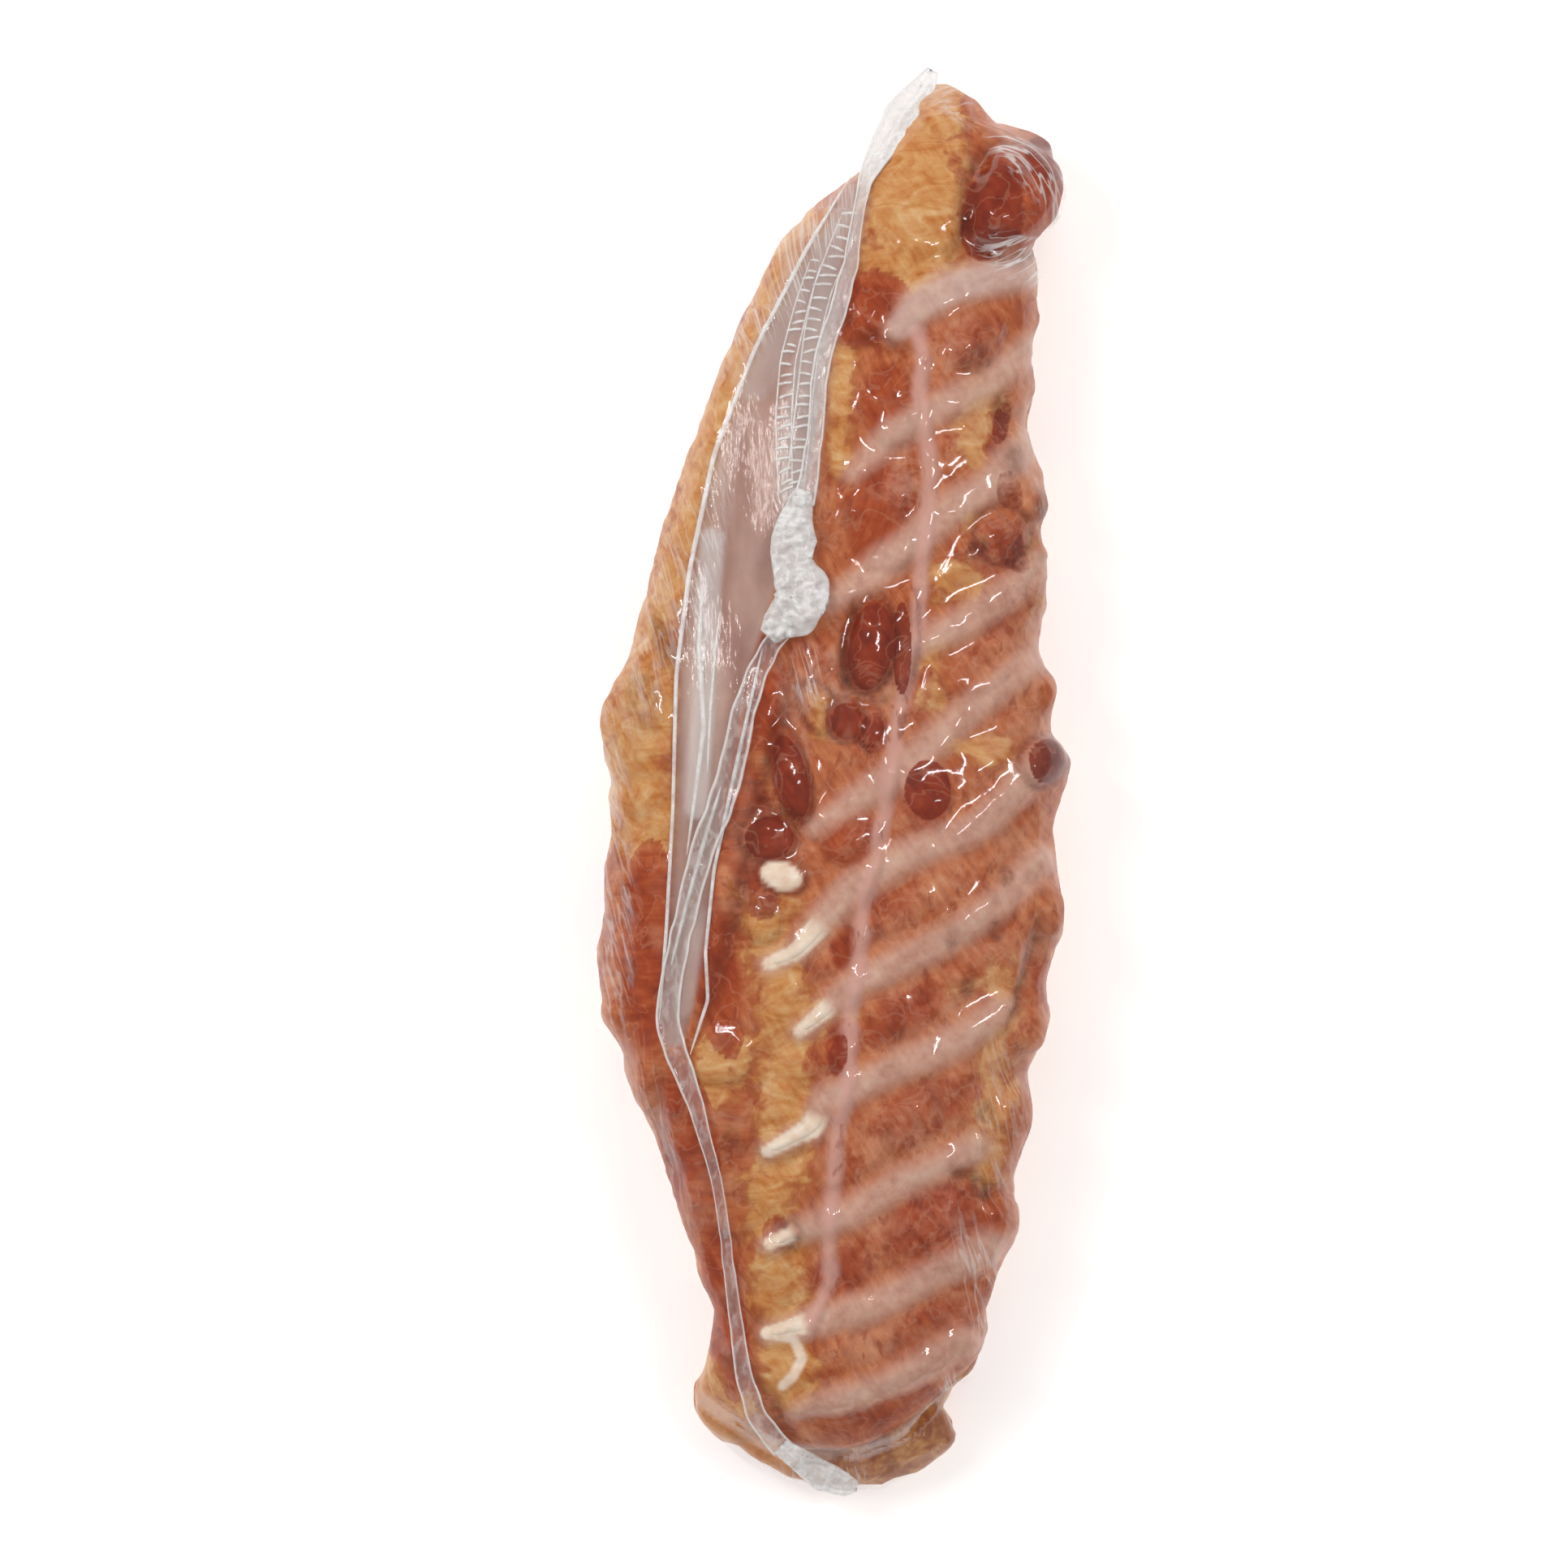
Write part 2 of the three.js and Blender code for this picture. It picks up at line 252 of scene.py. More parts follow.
RIB_HALF_WIDTHS = [5, 3.6, 4.2, 3.6, 3.6, 3.8, 3.6, 3.6, 3.4, 3.6, 3.4]
WHITE_TIPS = {5: 0.17, 6: 0.12, 7: 0.22, 8: 0.1, 9: 0.16}  # rib number from 0, and how much of it is white

# The cord of fascia that crosses the ribs.
STRING = [
    (24, 130), (26, 122), (24.5, 112), (27, 97), (28, 89), (25.5, 62), (23.5, 37.5), (19, 21), (17, 7.5),
    (15, -6), (12, -23), (8, -37), (8, -45), (7, -56), (4.5, -69), (4.5, -86), (0.5, -104.5), (-1.5, -135.5),
    (-1, -146), (-8.5, -161.5),
]

# Lumps: (x, y, half width, half height, turn, height).
LUMPS = [
    (10.5, 38.5, 7, 13.5, -8, 4.2), (19.5, 38, 3.2, 15, 0, 2), (3.5, 17, 5.2, 6.2, 0, 2.6),
    (10.5, 14.5, 4.6, 6, 0, 1.8), (-5, 21, 5, 7.5, 20, 2.2), (-12.5, 1, 5, 13, 14, 3.6),
    (-19, -17, 8, 7, 0, 3), (27, -5, 7.6, 11.5, 0, 1.8), (61, 5, 7, 7, 0, 2.5),
    (-15.5, -28, 7.4, 4.8, -15, 2.4), (60, 80, 4.5, 5, 0, 1.6), (61, 69, 5, 5, 0, 1.6),
    (61, 55, 5, 5.5, 0, 1.6), (62, 25, 5, 6, 0, 1.6), (61, -38, 7, 9, 0, 1.8), (57, -73, 6, 7, 0, 1.8),
    (53, -97, 6, 7, 0, 1.8), (49, -128, 6, 7, 0, 1.6), (53, 170, 14, 17, -15, 5), (25, 176, 16, 24, 0, 2),
    (33, 197, 8, 9, 0, 2), (-57, 14, 12, 25, 0, 2), (16, 109, 8.5, 13, 10, 2), (13.5, 77, 11.5, 17, 8, 2),
    (8, 138, 8, 9, 20, 2), (41, 127, 10, 7, 30, 1.8), (49, 71, 8, 8, 35, 2.2), (43, 33, 12, 7, 38, 1.4),
    (-33, -80, 10, 9, 0, 1.8), (5, -17, 10, 7, 35, 1.3), (-21, -41, 6, 7, 0, 2), (-16, -100, 8, 12, 0, 1.6),
    (-20, -145, 8, 14, 0, 1.6),
]

PAINTED_RIM_SHADE_FROM = 2.1  # lumps this high get a ring of painted shade round their rim

# Creases: (line, half width, depth).
CREASES = [
    ([(47, 192), (42, 174), (37.5, 157), (32, 147)], 2.2, 1.8),
    ([(2, 126), (13, 128), (24, 124)], 2.2, 2.4),
    ([(-15, 40), (-13, 22), (-20.5, 0), (-24.5, -19), (-30, -45), (-40, -78)], 2.6, 2.6),
    ([(59.5, -35), (59.5, -47.5), (55.5, -57.5), (50.5, -73.5)], 2, 2.2),
    ([(33.5, -114.5), (40.5, -116), (46, -120), (45, -124)], 1.6, 2.6),
    ([(7, 53), (3, 38), (4, 24)], 1.8, 2.4),
    ([(2, 30), (9, 24), (17, 22)], 1.6, 2.2),
    ([(-22, -4), (-18, -10), (-8, -12)], 1.6, 2.2),
    ([(24.5, 58), (25, 40), (22, 24)], 1.2, 1.6),
    ([(-50, -80), (-52, -100), (-44, -122)], 2, 1.6),
    ([(-38, -165), (-20, -180), (-12, -196)], 3, 2),
]

# Fat: capsules (line, half width, strength).
FAT = [
    ([(20, 190), (24, 170), (22, 153)], 18, 1.2), ([(33, 203), (32, 192)], 7, 1.2),
    ([(2.5, 124), (1.5, 90)], 4.6, 1), ([(43, 113), (42, 98)], 8, 1.15), ([(33, 59), (40, 56)], 8, 1),
    ([(28, 37), (30, 24)], 7, 0.95), ([(38, 9), (50, 7)], 7, 0.9), ([(40, 76), (44, 68)], 5, 0.8),
    ([(-8, 165), (-24, 132), (-38, 95), (-48, 58), (-56, 36)], 9, 1),
    ([(-56, 30), (-57, 0), (-55, -14)], 13, 1.1), ([(-31, -78), (-36, -88)], 10, 1),
    ([(-21, -36), (-14, -66), (-15, -104), (-18, -128), (-15, -157), (-12, -178)], 10.5, 1),
    ([(49, -58), (47, -90), (44, -118)], 8.5, 0.85), ([(22, -38), (44, -45)], 4.5, 0.6),
    ([(-5, 23), (-4, 15)], 5, 1), ([(-42, -160), (-30, -184)], 9, 1), ([(20, 62), (26, 56)], 4, 0.6),
    ([(33, -62), (46, -57)], 4, 0.6), ([(4, -69), (-12, -80)], 5, 0.8), ([(56, 75), (59, 50)], 4, 0.7),
]

# Deep red lean meat: ovals (x, y, half width, half height, turn, strength).
LEAN = [
    (10, 137, 13, 11, 20, 1), (52, 168, 14, 18, -15, 1.2), (16, 109, 9, 13, 10, 0.8),
    (13.5, 77, 12, 19, 8, 0.75), (10.5, 38.5, 8, 14.5, -8, 1.2), (3.5, 17, 6, 7, 0, 1),
    (10.5, 14.5, 6, 8, 0, 0.9), (-12.5, 1, 6, 14, 14, 1.2), (-19, -17, 8.5, 8, 0, 1),
    (-21, 28, 8, 24, 10, 0.8), (-27, -12, 9, 30, 15, 0.9), (-36, -52, 8, 30, 12, 0.9),
    (-54, -50, 9.5, 33, 0, 0.85), (-42, -109, 9.5, 25, 8, 1), (-32, -155, 6.5, 28, 6, 1),
    (27, -5, 7.6, 11.5, 0, 0.9), (5, -17, 10, 8, 35, 0.9), (41, 128, 12, 7.5, 30, 0.6),
    (47, 100, 5, 8, 0, 0.6), (48, 68, 9, 10, 0, 0.75), (61, 5, 8, 9, 0, 1), (35, -136, 18, 8, 35, 0.7),
    (28, -128, 17, 9, 30, 0.85), (3, -143, 11, 8, 25, 0.7), (30, -160, 20, 8, 30, 0.6),
    (13, -187, 24, 6, 22, 0.6), (25, -97, 17, 9, 32, 0.6), (20, -69, 14, 8, 32, 0.7),
    (2, -78, 5, 9, 0, 0.9), (12, -40, 14, 8, 30, 0.55), (35, 32, 12, 7, 36, 0.4), (48, 45, 7, 5, 30, 0.6),
    (2, -50, 4, 6, 0, 0.8), (62, -60, 5, 9, 0, 0.7), (-17, -132, 4, 5, 0, 0.9), (-31, -46, 4, 6, 0, 0.5),
]

# Glands and muscle ends that show as crisp dark ovals: (x, y, half width, half height, turn, strength).
GLANDS = [
    (10.5, 38.5, 6.6, 12.8, -8, 1), (19.5, 38, 2.8, 14, 0, 0.9), (3.5, 17, 4.8, 5.8, 0, 0.8),
    (10.5, 14, 4, 6, -20, 0.6), (-12.5, 1, 4.6, 12.4, 14, 1), (-19, -17, 7.4, 6.4, 10, 0.9),
    (27, -3, 7, 9, 0, 0.85), (61.5, 5, 6, 6.5, 0, 0.9), (41, 125, 9, 7, 40, 0.35),
    (51, 84, 4.4, 6.5, 20, 0.5), (49, 104, 3, 7, -15, 0.6), (1, -80, 3, 7, -10, 0.6),
    (16, -41, 3, 6, 0, 0.3), (52, 66, 5, 7, 25, 0.5), (54, 50, 7, 8, 20, 0.4), (45, 165, 8, 15, -12, 0.7),
    (60.5, 182, 6, 8, -10, 0.8),
]

# Small dark spots on the fat and between the ribs.
SPOTS = [
    (41, 67, 3.5, 2.6, 30, 1), (52.5, 65.5, 3, 4, 0, 1), (61, 80, 3.5, 4.5, 0, 1),
    (50, -28, 2.2, 3, 0, 0.8), (47, -44, 2.4, 3.2, 0, 0.8), (38.5, -60.5, 2.2, 3, 0, 0.8),
    (18, -73, 2.2, 3, 0, 0.7), (-13.5, -132, 4, 5, 0, 0.9), (43.5, -120, 4, 2.4, -20, 1),
    (-30, -106, 3.5, 4, 0, 0.8), (62.5, 5, 4.5, 6, 0, 1), (-50, 40, 3, 8, 20, 0.7),
    (-55, 24, 5, 9, 10, 0.45), (41, 122, 5, 4, 30, 0.7), (49, 108, 3, 5, 0, 0.7), (-20, -37, 4, 3, 0, 0.7),
    (12, -44.5, 2, 2.5, 0, 0.6), (34, -46, 2, 3, 0, 0.6), (52, 93, 3, 4, 0, 0.6), (44, -97, 2.4, 3, 0, 0.6),
]

FAT_FALL = 0.62  # how much of its strength fat has lost at its half width
LEAN_OVER_FAT = 0.55  # how much fat a lean oval takes away
# Strengths of the painted shade laid in the creases and round the high lumps' rims.
CREASE_PAINTED_SHADE, RIM_PAINTED_SHADE = 0.3, 0.75
KNOB = (-15.5, -28, 6.5, 4.2, -15)  # a cut knob of cartilage
HOOK = [(-18, -162), (-12, -163), (-9.5, -169), (-12, -174), (-15, -177)]  # white, under the tenth rib

# Milky veils of membrane: ovals (x, y, half width, half height, turn, strength).
VEILS = [
    (-2, 26, 8, 14, 10, 0.75), (50, 35, 17, 60, 0, 0.26), (38, -60, 26, 50, 0, 0.25),
    (25, -130, 26, 55, 8, 0.22), (20, 0, 18, 38, 0, 0.3), (24, 88, 9, 16, 0, 0.5), (-12, 15, 4, 22, 8, 0.5),
    (36, 115, 14, 26, 0, 0.3), (-14, -24, 10, 8, 0, 0.35),
]

# The taut clear window left of the seam: [y, left edge x, right edge x].
WINDOW = [
    [-78, -49.6, -44.6], [-70, -50.6, -42.2], [-45, -49, -37.5], [-9, -47, -32.5], [31, -45.8, -24.4],
    [62, -42.2, -15], [95, -35, -6.5], [126, -23, -2], [157, -6.5, 3], [177, 5.2, 7.3], [183, 7, 7.4],
]
WINDOW_EDGE = (-1.2, 2.2)  # from outside to inside, over which the window's effects fade in
WINDOW_SAG = 2.4  # how far the meat lies under the window's taut film
WINDOW_SMOOTHING = 0.75  # and how much of its relief is lost there
RIB_SWELL, RIB_TROUGH = 0.95, 0.7  # height of a rib's ridge, and depth of the trough beside it
STRING_SWELL, STRING_TROUGH = 0.8, 0.5
RIM_AT = 1.08  # a lump's rim groove, in the lump's own sizes from its middle
RIM_DEPTH = 0.22  # and its depth, as a share of the lump's height
CREASE_END_DEPTH = 0.35  # a crease's depth at its ends, as a share


def rib_distance(x, y):
    """Distance to the nearest rib's side, negative on the rib, and 1 where that rib's end is white."""
    side = np.full(np.shape(x), FAR_AWAY)
    white = np.zeros(np.shape(x))
    for i, (rib, half_width) in enumerate(zip(RIBS, RIB_HALF_WIDTHS)):
        gap, share = to_line(x, y, rib)
        widest = half_width * (0.55 + 0.45 * smooth(share, 0, 0.25))
        nearer = gap - widest < side
        side = np.where(nearer, gap - widest, side)
        ends = smooth(WHITE_TIPS.get(i, -1) - share, -0.03, 0.02)
        white = np.where(nearer, ends, white)
    return side, white


def window_mask(x, y):
    """1 well inside the taut window, 0 outside it."""
    left, right = curve(WINDOW, y, 1), curve(WINDOW, y, 2)
    inside = np.minimum(x - left, right - x)
    inside = np.where((y > WINDOW[0][0]) & (y < WINDOW[-1][0]), inside, -FAR_AWAY)
    return smooth(inside, *WINDOW_EDGE)


def creases(x, y, end):
    """Each crease's depth, its distance in its own half widths, and 1 where well inside its ends."""
    for line, half_width, depth in CREASES:
        gap, share = to_line(x, y, line)
        yield depth, gap / half_width, smooth(share, 0, end) * smooth(1 - share, 0, end)


def front_relief(x, y):
    """How far the front slab's meat stands out (+) or in (-) of its smooth form at (x, y)."""
    flat = np.stack([x, y, np.zeros_like(x)], axis=-1)
    rib, _ = rib_distance(x, y)
    relief = RIB_SWELL * bell(np.maximum(rib + 2.5, 0), 0, 3.2) - RIB_TROUGH * bell(rib, 3.2, 2.6)
    string, _ = to_line(x, y, STRING)
    relief += STRING_SWELL * bell(string, 0, 1.6) - STRING_TROUGH * bell(string, 3.2, 1.2)
    for lump in LUMPS:
        reach = oval(x, y, lump)
        relief += lump[5] * (np.sqrt(np.clip(1 - reach**2, 0, 1)) - RIM_DEPTH * bell(reach, RIM_AT, 0.16))
    for depth, gap, inside in creases(x, y, 0.15):
        relief -= depth * bell(gap, 0, 1) * (CREASE_END_DEPTH + (1 - CREASE_END_DEPTH) * inside)
    window = window_mask(x, y)
    relief = relief * (1 - WINDOW_SMOOTHING * window) - WINDOW_SAG * window
    relief += 0.9 * rough_noise(flat, 17, 11) + 0.45 * rough_noise(flat, 6.5, 23) * (1 - 0.7 * window)
    return relief + 0.16 * lattice_noise(flat, 2.3, 31)


def front_fields(x, y):
    """What each point of the front is made of, and where shade is painted on it, as fields for the materials."""
    rib, white = rib_distance(x, y)
    string, _ = to_line(x, y, STRING)
    fat = np.zeros_like(x)
    for line, half_width, strength in FAT:
        gap, _ = to_line(x, y, line)
        fat = np.maximum(fat, strength * (1 - gap / half_width * FAT_FALL))
    for spot in LEAN:
        fat = np.where(oval(x, y, spot) < 1, fat - LEAN_OVER_FAT * spot[5], fat)
    dark = strongest(x, y, SPOTS, 1.5, 0.9)
    # Painted shade along each crease, darker where the crease is deeper.
    for depth, gap, inside in creases(x, y, 0.2):
        dark = np.maximum(dark, CREASE_PAINTED_SHADE * depth * bell(gap, 0, 0.9) * inside)
    # Painted shade: a dark ring round the rim of each high lump, where its shadow falls.
    for lump in LUMPS:
        if lump[5] >= PAINTED_RIM_SHADE_FROM:
            dark = np.maximum(dark, RIM_PAINTED_SHADE * bell(oval(x, y, lump), RIM_AT, 0.13))
    knob = smooth(1.06 - oval(x, y, KNOB), 0, 0.2)
    hook, _ = to_line(x, y, HOOK)
    white = np.maximum(np.maximum(knob, 0.9 * smooth(2.2 - hook, 0, 1.4)), white * smooth(-rib, -0.4, 0.6))
    return {
        "rib": rib,
        "string": string,
        "fat": fat,
        "lean": strongest(x, y, LEAN, 1.25, 0.6),
        "dark": np.clip(dark, 0, 1),
        "veil": strongest(x, y, VEILS, 1.25, 0.7),
        "gland": strongest(x, y, GLANDS, RIM_AT, 0.2),
        "white": white,
        "window": window_mask(x, y),
        "grain": grain(x, y),
    }


# Where the fibres don't run square to the ribs: (oval where, centre that they circle).
CURVED_GRAIN = [
    ((13, 80, 16, 24, 0), (-34, 92)), ((53, 168, 18, 26, 0), (36, 160)), ((16, 112, 12, 16, 0), (60, 140)),
]
FLAT_GRAIN = [(-54, -50, 14, 40, 0), (-38, -110, 16, 30, 0), (-30, -10, 14, 55, 12)]
GRAIN_STRETCH = 6.0
GRAIN_TURN = math.radians(33)  # of the fibres elsewhere, against the pack's length
GRAIN_RADIUS = 30  # at which a turn round a centre counts at its true length


def grain(x, y):
    """Coordinates that put noise in long streaks along the meat's fibres."""
    c, s = math.cos(GRAIN_TURN), math.sin(GRAIN_TURN)
    across, along = x * c + y * s, (-x * s + y * c) / GRAIN_STRETCH
    for where, (cx, cy) in CURVED_GRAIN:
        inside = oval(x, y, where) < 1
        across = np.where(inside, np.hypot(x - cx, y - cy), across)
        along = np.where(inside, np.arctan2(y - cy, x - cx) * GRAIN_RADIUS / GRAIN_STRETCH, along)
    for where in FLAT_GRAIN:
        inside = oval(x, y, where) < 1
        across = np.where(inside, y, across)
        along = np.where(inside, x / GRAIN_STRETCH, along)
    return np.stack([across, along, np.zeros_like(x)], -1)


# ---------------------------------------------------------------- mesh making


def grid_faces(rows, columns, wrap):
    """Quads of a grid of points stored row by row, joined round in the columns if wrapped."""
    last = columns if wrap else columns - 1
    r, c = np.meshgrid(np.arange(rows - 1) * columns, np.arange(last), indexing="ij")
    n = (c + 1) % columns
    return np.stack([r + c, r + n, r + columns + n, r + columns + c], -1).reshape(-1, 4)


def make_object(name, points, faces, fields=None):
    """A smooth-shaded object from points in millimetres, with its fields stored on the points."""
    mesh = bpy.data.meshes.new(name)
    mesh.from_pydata((np.asarray(points).reshape(-1, 3) * MM).tolist(), [], [list(f) for f in faces])
    for key, values in (fields or {}).items():
        vector = np.size(values) == 3 * len(mesh.vertices)
        layer = mesh.attributes.new(key, "FLOAT_VECTOR" if vector else "FLOAT", "POINT")
        layer.data.foreach_set("vector" if vector else "value", np.asarray(values, np.float32).reshape(-1))
    mesh.shade_smooth()
    thing = bpy.data.objects.new(name, mesh)
    bpy.context.scene.collection.objects.link(thing)
    return thing


def tube_object(name, rings, fields=None):
    """A closed body through rings of points [ring, side, 3], with a fan over each end."""
    count, sides = rings.shape[:2]
    points = np.concatenate([rings.reshape(-1, 3), rings[:1].mean(1), rings[-1:].mean(1)])
    faces = [list(f) for f in grid_faces(count, sides, True)]
    first, last, base = count * sides, count * sides + 1, (count - 1) * sides
    for i in range(sides):
        n = (i + 1) % sides
        faces += [[first, n, i], [last, base + i, base + n]]
    whole = {}
    for key, values in (fields or {}).items():
        ends = [values[end].mean(0).reshape(1, -1) for end in (0, -1)]
        whole[key] = np.concatenate([values.reshape(count * sides, -1), *ends])
    return make_object(name, points, faces, whole)


def out_normals(rings):
    """Unit normals, pointing out, of rings that turn from +X through +Z while y falls."""
    around = np.roll(rings, -1, axis=1) - np.roll(rings, 1, axis=1)
    along = np.gradient(rings, axis=0)
    normals = np.cross(around, along)
    length = np.linalg.norm(normals, axis=-1, keepdims=True)
    return normals / np.maximum(length, 1e-9)


def lit_from_above(normals):
    """How far a surface faces up: 1 over most of the front, 0 on the sides and the back."""
    return smooth(normals[..., 2], 0.05, 0.5)


# ---------------------------------------------------------------- the slabs

SLAB_ROWS = 360
FRONT_COLUMNS = 190
UNDER_COLUMNS = 60
REAR_ROWS = 240
REAR_BACK_COLUMNS = 130
REAR_TOP_COLUMNS = 70
SLAB_GAP = 0.5  # half of the gap between the slabs
FLAT_RISE = WALL_HALF - SLAB_GAP  # of the faces that the slabs turn to each other
SLANT_FROM, SLANT_TO = 140, 195  # how far down the front slab's rows take on its end's slant
SLANT_ROUNDS = 4
BARE_MARGIN = 6  # how far under the front slab's end the rear slab's bare end begins
MEAT_FLOOR = MEAT_INSET + 0.3  # the least height of meat over the floor

# Lumps on the rear slab's bare end: (x, y, half width, half height, turn, height).
END_LUMPS = [
    (-31, -183, 9, 13, 10, 3.5), (22, -194, 13, 7, 25, 3), (6, -204, 10, 5, 15, 2.4),
    (-14, -201, 9, 5, -20, 2),
]


def side_relief(points):
    """How far the slabs' sides stand out or in."""
    return 1.1 * rough_noise(points, 15, 51) + 0.5 * rough_noise(points, 5, 57)


def end_relief(x, y):
    """How far the rear slab's end stands out, where it shows past the front slab."""
    relief = 1.2 * lattice_noise(np.stack([x, y, 0 * x], -1), 6, 83)
    for lump in END_LUMPS:
        relief = relief + lump[5] * np.sqrt(np.clip(1 - oval(x, y, lump) ** 2, 0, 1))
    return relief


def slanted(level, across, cap):
    """Where points of level rows lie once the front slab's lower end is cut on its slant."""
    y = level
    for _ in range(SLANT_ROUNDS):
        middle, half, _, _, _ = section(y)
        x = middle + narrowed(half - MEAT_INSET, cap) * across
        y = level + (curve(FRONT_END, x) - FRONT_END_Y) * smooth(-level, SLANT_FROM, SLANT_TO)
    return x, y


def front_slab():
    """The slab that shows its bone side, with the photo's relief on its front."""
    y, cap = rows(FRONT_TOP_Y, FRONT_END_Y, SLAB_ROWS)
    across, up = profile(FRONT_COLUMNS, DOMED, UNDER_COLUMNS, FRONT_FULLNESS, FLAT)
    x, y = slanted(y + 0 * across, across, cap)
    _, _, _, centre, front = section(y)
    waist = centre + WALL_HALF
    reach = np.where(up > 0, front - MEAT_INSET - waist, FLAT_RISE)
    rings = np.stack([x, y, waist + reach * cap * up], -1)
    normals = out_normals(rings)
    lit = lit_from_above(normals)
    relief = lit * front_relief(x, y) + (1 - lit) * side_relief(rings)
    relief = relief * cap * smooth(rings[..., 2] - centre, 0.5, 5)
    return tube_object("front_rib_slab_meat", rings + normals * relief[..., None], front_fields(x, y))


def rear_slab():
    """The slab underneath, lumpy all over its back, with a bare end that shows."""
    y, cap = rows(REAR_ENDS[1], REAR_ENDS[0], REAR_ROWS)
    across, up = profile(REAR_TOP_COLUMNS, FLAT, REAR_BACK_COLUMNS, BACK_FULLNESS, DOMED)
    middle, half, back, centre, _ = section(y)
    x = middle + narrowed(half - MEAT_INSET, cap) * across
    y = y + 0 * x
    waist = centre - WALL_HALF
    reach = np.where(up > 0, FLAT_RISE, waist - back - MEAT_INSET)
    rings = np.stack([x, y, waist + reach * cap * up], -1)
    normals = out_normals(rings)
    bare = smooth(curve(FRONT_END, x) + BARE_MARGIN - y, 0, BARE_MARGIN)
    below = smooth(-normals[..., 2], -0.2, 0.2)
    relief = (1.3 * rough_noise(rings, 21, 71) + 0.6 * rough_noise(rings, 7, 77)) * below * cap
    relief = relief + end_relief(x, y) * bare * cap
    points = rings + normals * relief[..., None]
    points[..., 2] = np.maximum(points[..., 2], MEAT_FLOOR)
    fields = {"bare": bare * (1 - below), "left_end": smooth(-x, 4, 14)}
    return tube_object("rear_rib_slab_meat", points, fields)


# ---------------------------------------------------------------- the ribs

RIB_RINGS = 60
RIB_SIDES = 24
RIB_DEPTH = 4.0
RIB_RISE = 0.9  # how far a bare tip stands over its own edges
RIB_SINK = 0.65  # how far those edges lie under the meat's surface
RIB_FAR_END = 0.95  # share of its line where a rib's bone ends
BONE_WIDTH = 0.75  # a bone's width against its pale band's
RIB_SOFTENING = 120  # rounds of smoothing for a rib's line
LINE_STEPS = 400


def front_height(x, y):
    """Height of the front slab's smooth form at (x, y)."""
    middle, half, _, centre, front = section(y)
    across = np.clip(np.abs(x - middle) / (half - MEAT_INSET), 0, 0.995)
    cap = end_cap(np.minimum(FRONT_TOP_Y - y, y - curve(FRONT_END, x)))
    waist = centre + WALL_HALF
    return waist + (front - MEAT_INSET - waist) * cap * (1 - across**FRONT_FULLNESS) ** (1 / FRONT_FULLNESS)


def soften(values, rounds):
    """Rows of values averaged with their neighbours over and over, all but the first and the last row."""
    values = values.copy()
    for _ in range(rounds):
        values[1:-1] = (values[:-2] + 2 * values[1:-1] + values[2:]) / 4
    return values


def along_line(line, share, softening=RIB_SOFTENING):
    """Points at each share of a line's length, with the line's corners rounded off."""
    route = np.array(line, float)
    walked = np.concatenate([[0], np.cumsum(np.linalg.norm(np.diff(route[:, :2], axis=0), axis=1))])
    dense = np.linspace(0, walked[-1], LINE_STEPS)
    fine = soften(np.stack([np.interp(dense, walked, column) for column in route.T], -1), softening)
    return np.stack([np.interp(share * walked[-1], dense, column) for column in fine.T], -1)


def leftward(route):
    """Unit vectors, seen from above, to the left of a route's way ahead."""
    ahead = np.gradient(route[:, :2], axis=0)
    ahead /= np.linalg.norm(ahead, axis=1, keepdims=True)
    return np.stack([-ahead[:, 1], ahead[:, 0]], -1)


def rib_bone(number, line, half_width, white_tip):
    """A rib that lies just under the meat's skin, and comes out where its tip is cut white."""
    share = np.linspace(RIB_FAR_END, 0.0, RIB_RINGS)
    route = along_line(line, share)
    left = leftward(route)
    from_end = np.minimum(np.minimum(share, RIB_FAR_END - share) / 0.05, 1)
    round_end = np.sqrt(np.clip(1 - (1 - from_end) ** 2, 0.02, 1))[:, None]
    wide = BONE_WIDTH * half_width * (0.6 + 0.4 * smooth(share, 0, 0.3))[:, None] * round_end
    angle = np.linspace(0, 2 * math.pi, RIB_SIDES, endpoint=False)
    x = route[:, :1] + left[:, :1] * wide * np.cos(angle)
    y = route[:, 1:] + left[:, 1:] * wide * np.cos(angle)
    bare = smooth(white_tip - share, -0.06, 0.02)[:, None]
    crown = (RIB_RISE * bare + 0.2) * np.sin(angle) * round_end
    depth = np.where(np.sin(angle) > 0, crown, RIB_DEPTH * np.sin(angle)) - RIB_SINK
    z = front_height(x, y) + front_relief(x, y) + depth
    return tube_object(f"rib_bone_{number:02d}_visible", np.stack([x, y, z], -1), front_fields(x, y))


# ---------------------------------------------------------------- the film bag

FILM_ROWS = 320
FILM_FRONT = 150
FILM_WALLS = 5
FILM_BACK = 60
FILM_END = 209.5  # either end, from the pack's middle
FILM_BRIDGE = 3  # how far the film over the rear slab's end stands clear of it
FILM_FLOOR = 0.3
DRAPE_TIGHT = 14  # rounds of pulling in which all of the film moves
DRAPE_LOOSE = 60  # and in which only its loose parts do

# Where the film is drawn into pale strands: ovals (x, y, half width, half height, turn, strength).
STRANDS = [
    (54, 180, 5.5, 17, 34, 1), (54, 152, 13, 7, -22, 0.95), (62, 168, 4, 14, 0, 0.8),
    (34, 198, 9, 6, -30, 0.5), (60, 110, 4, 50, 0, 0.3), (44, -150, 7, 26, 18, 0.6),
    (38, -180, 8, 8, 30, 0.9), (-46, 55, 9, 45, -18, 0.45), (-16, 148, 9, 40, -35, 0.6),
    (-64, -30, 6, 60, 0, 0.5), (-50, -110, 6, 40, 12, 0.35), (48, -100, 8, 30, 0, 0.3),
    (-5, -205, 16, 6, 0, 0.6), (-8, 30, 5, 9, 0, 0.7),
]
STRAND_HUB = (45, 167)  # the strands over the top lobe circle this place
HUB_FROM = 138  # the y above which they do
STRAND_STRETCH = 9.0
STRAND_RISE = 0.5


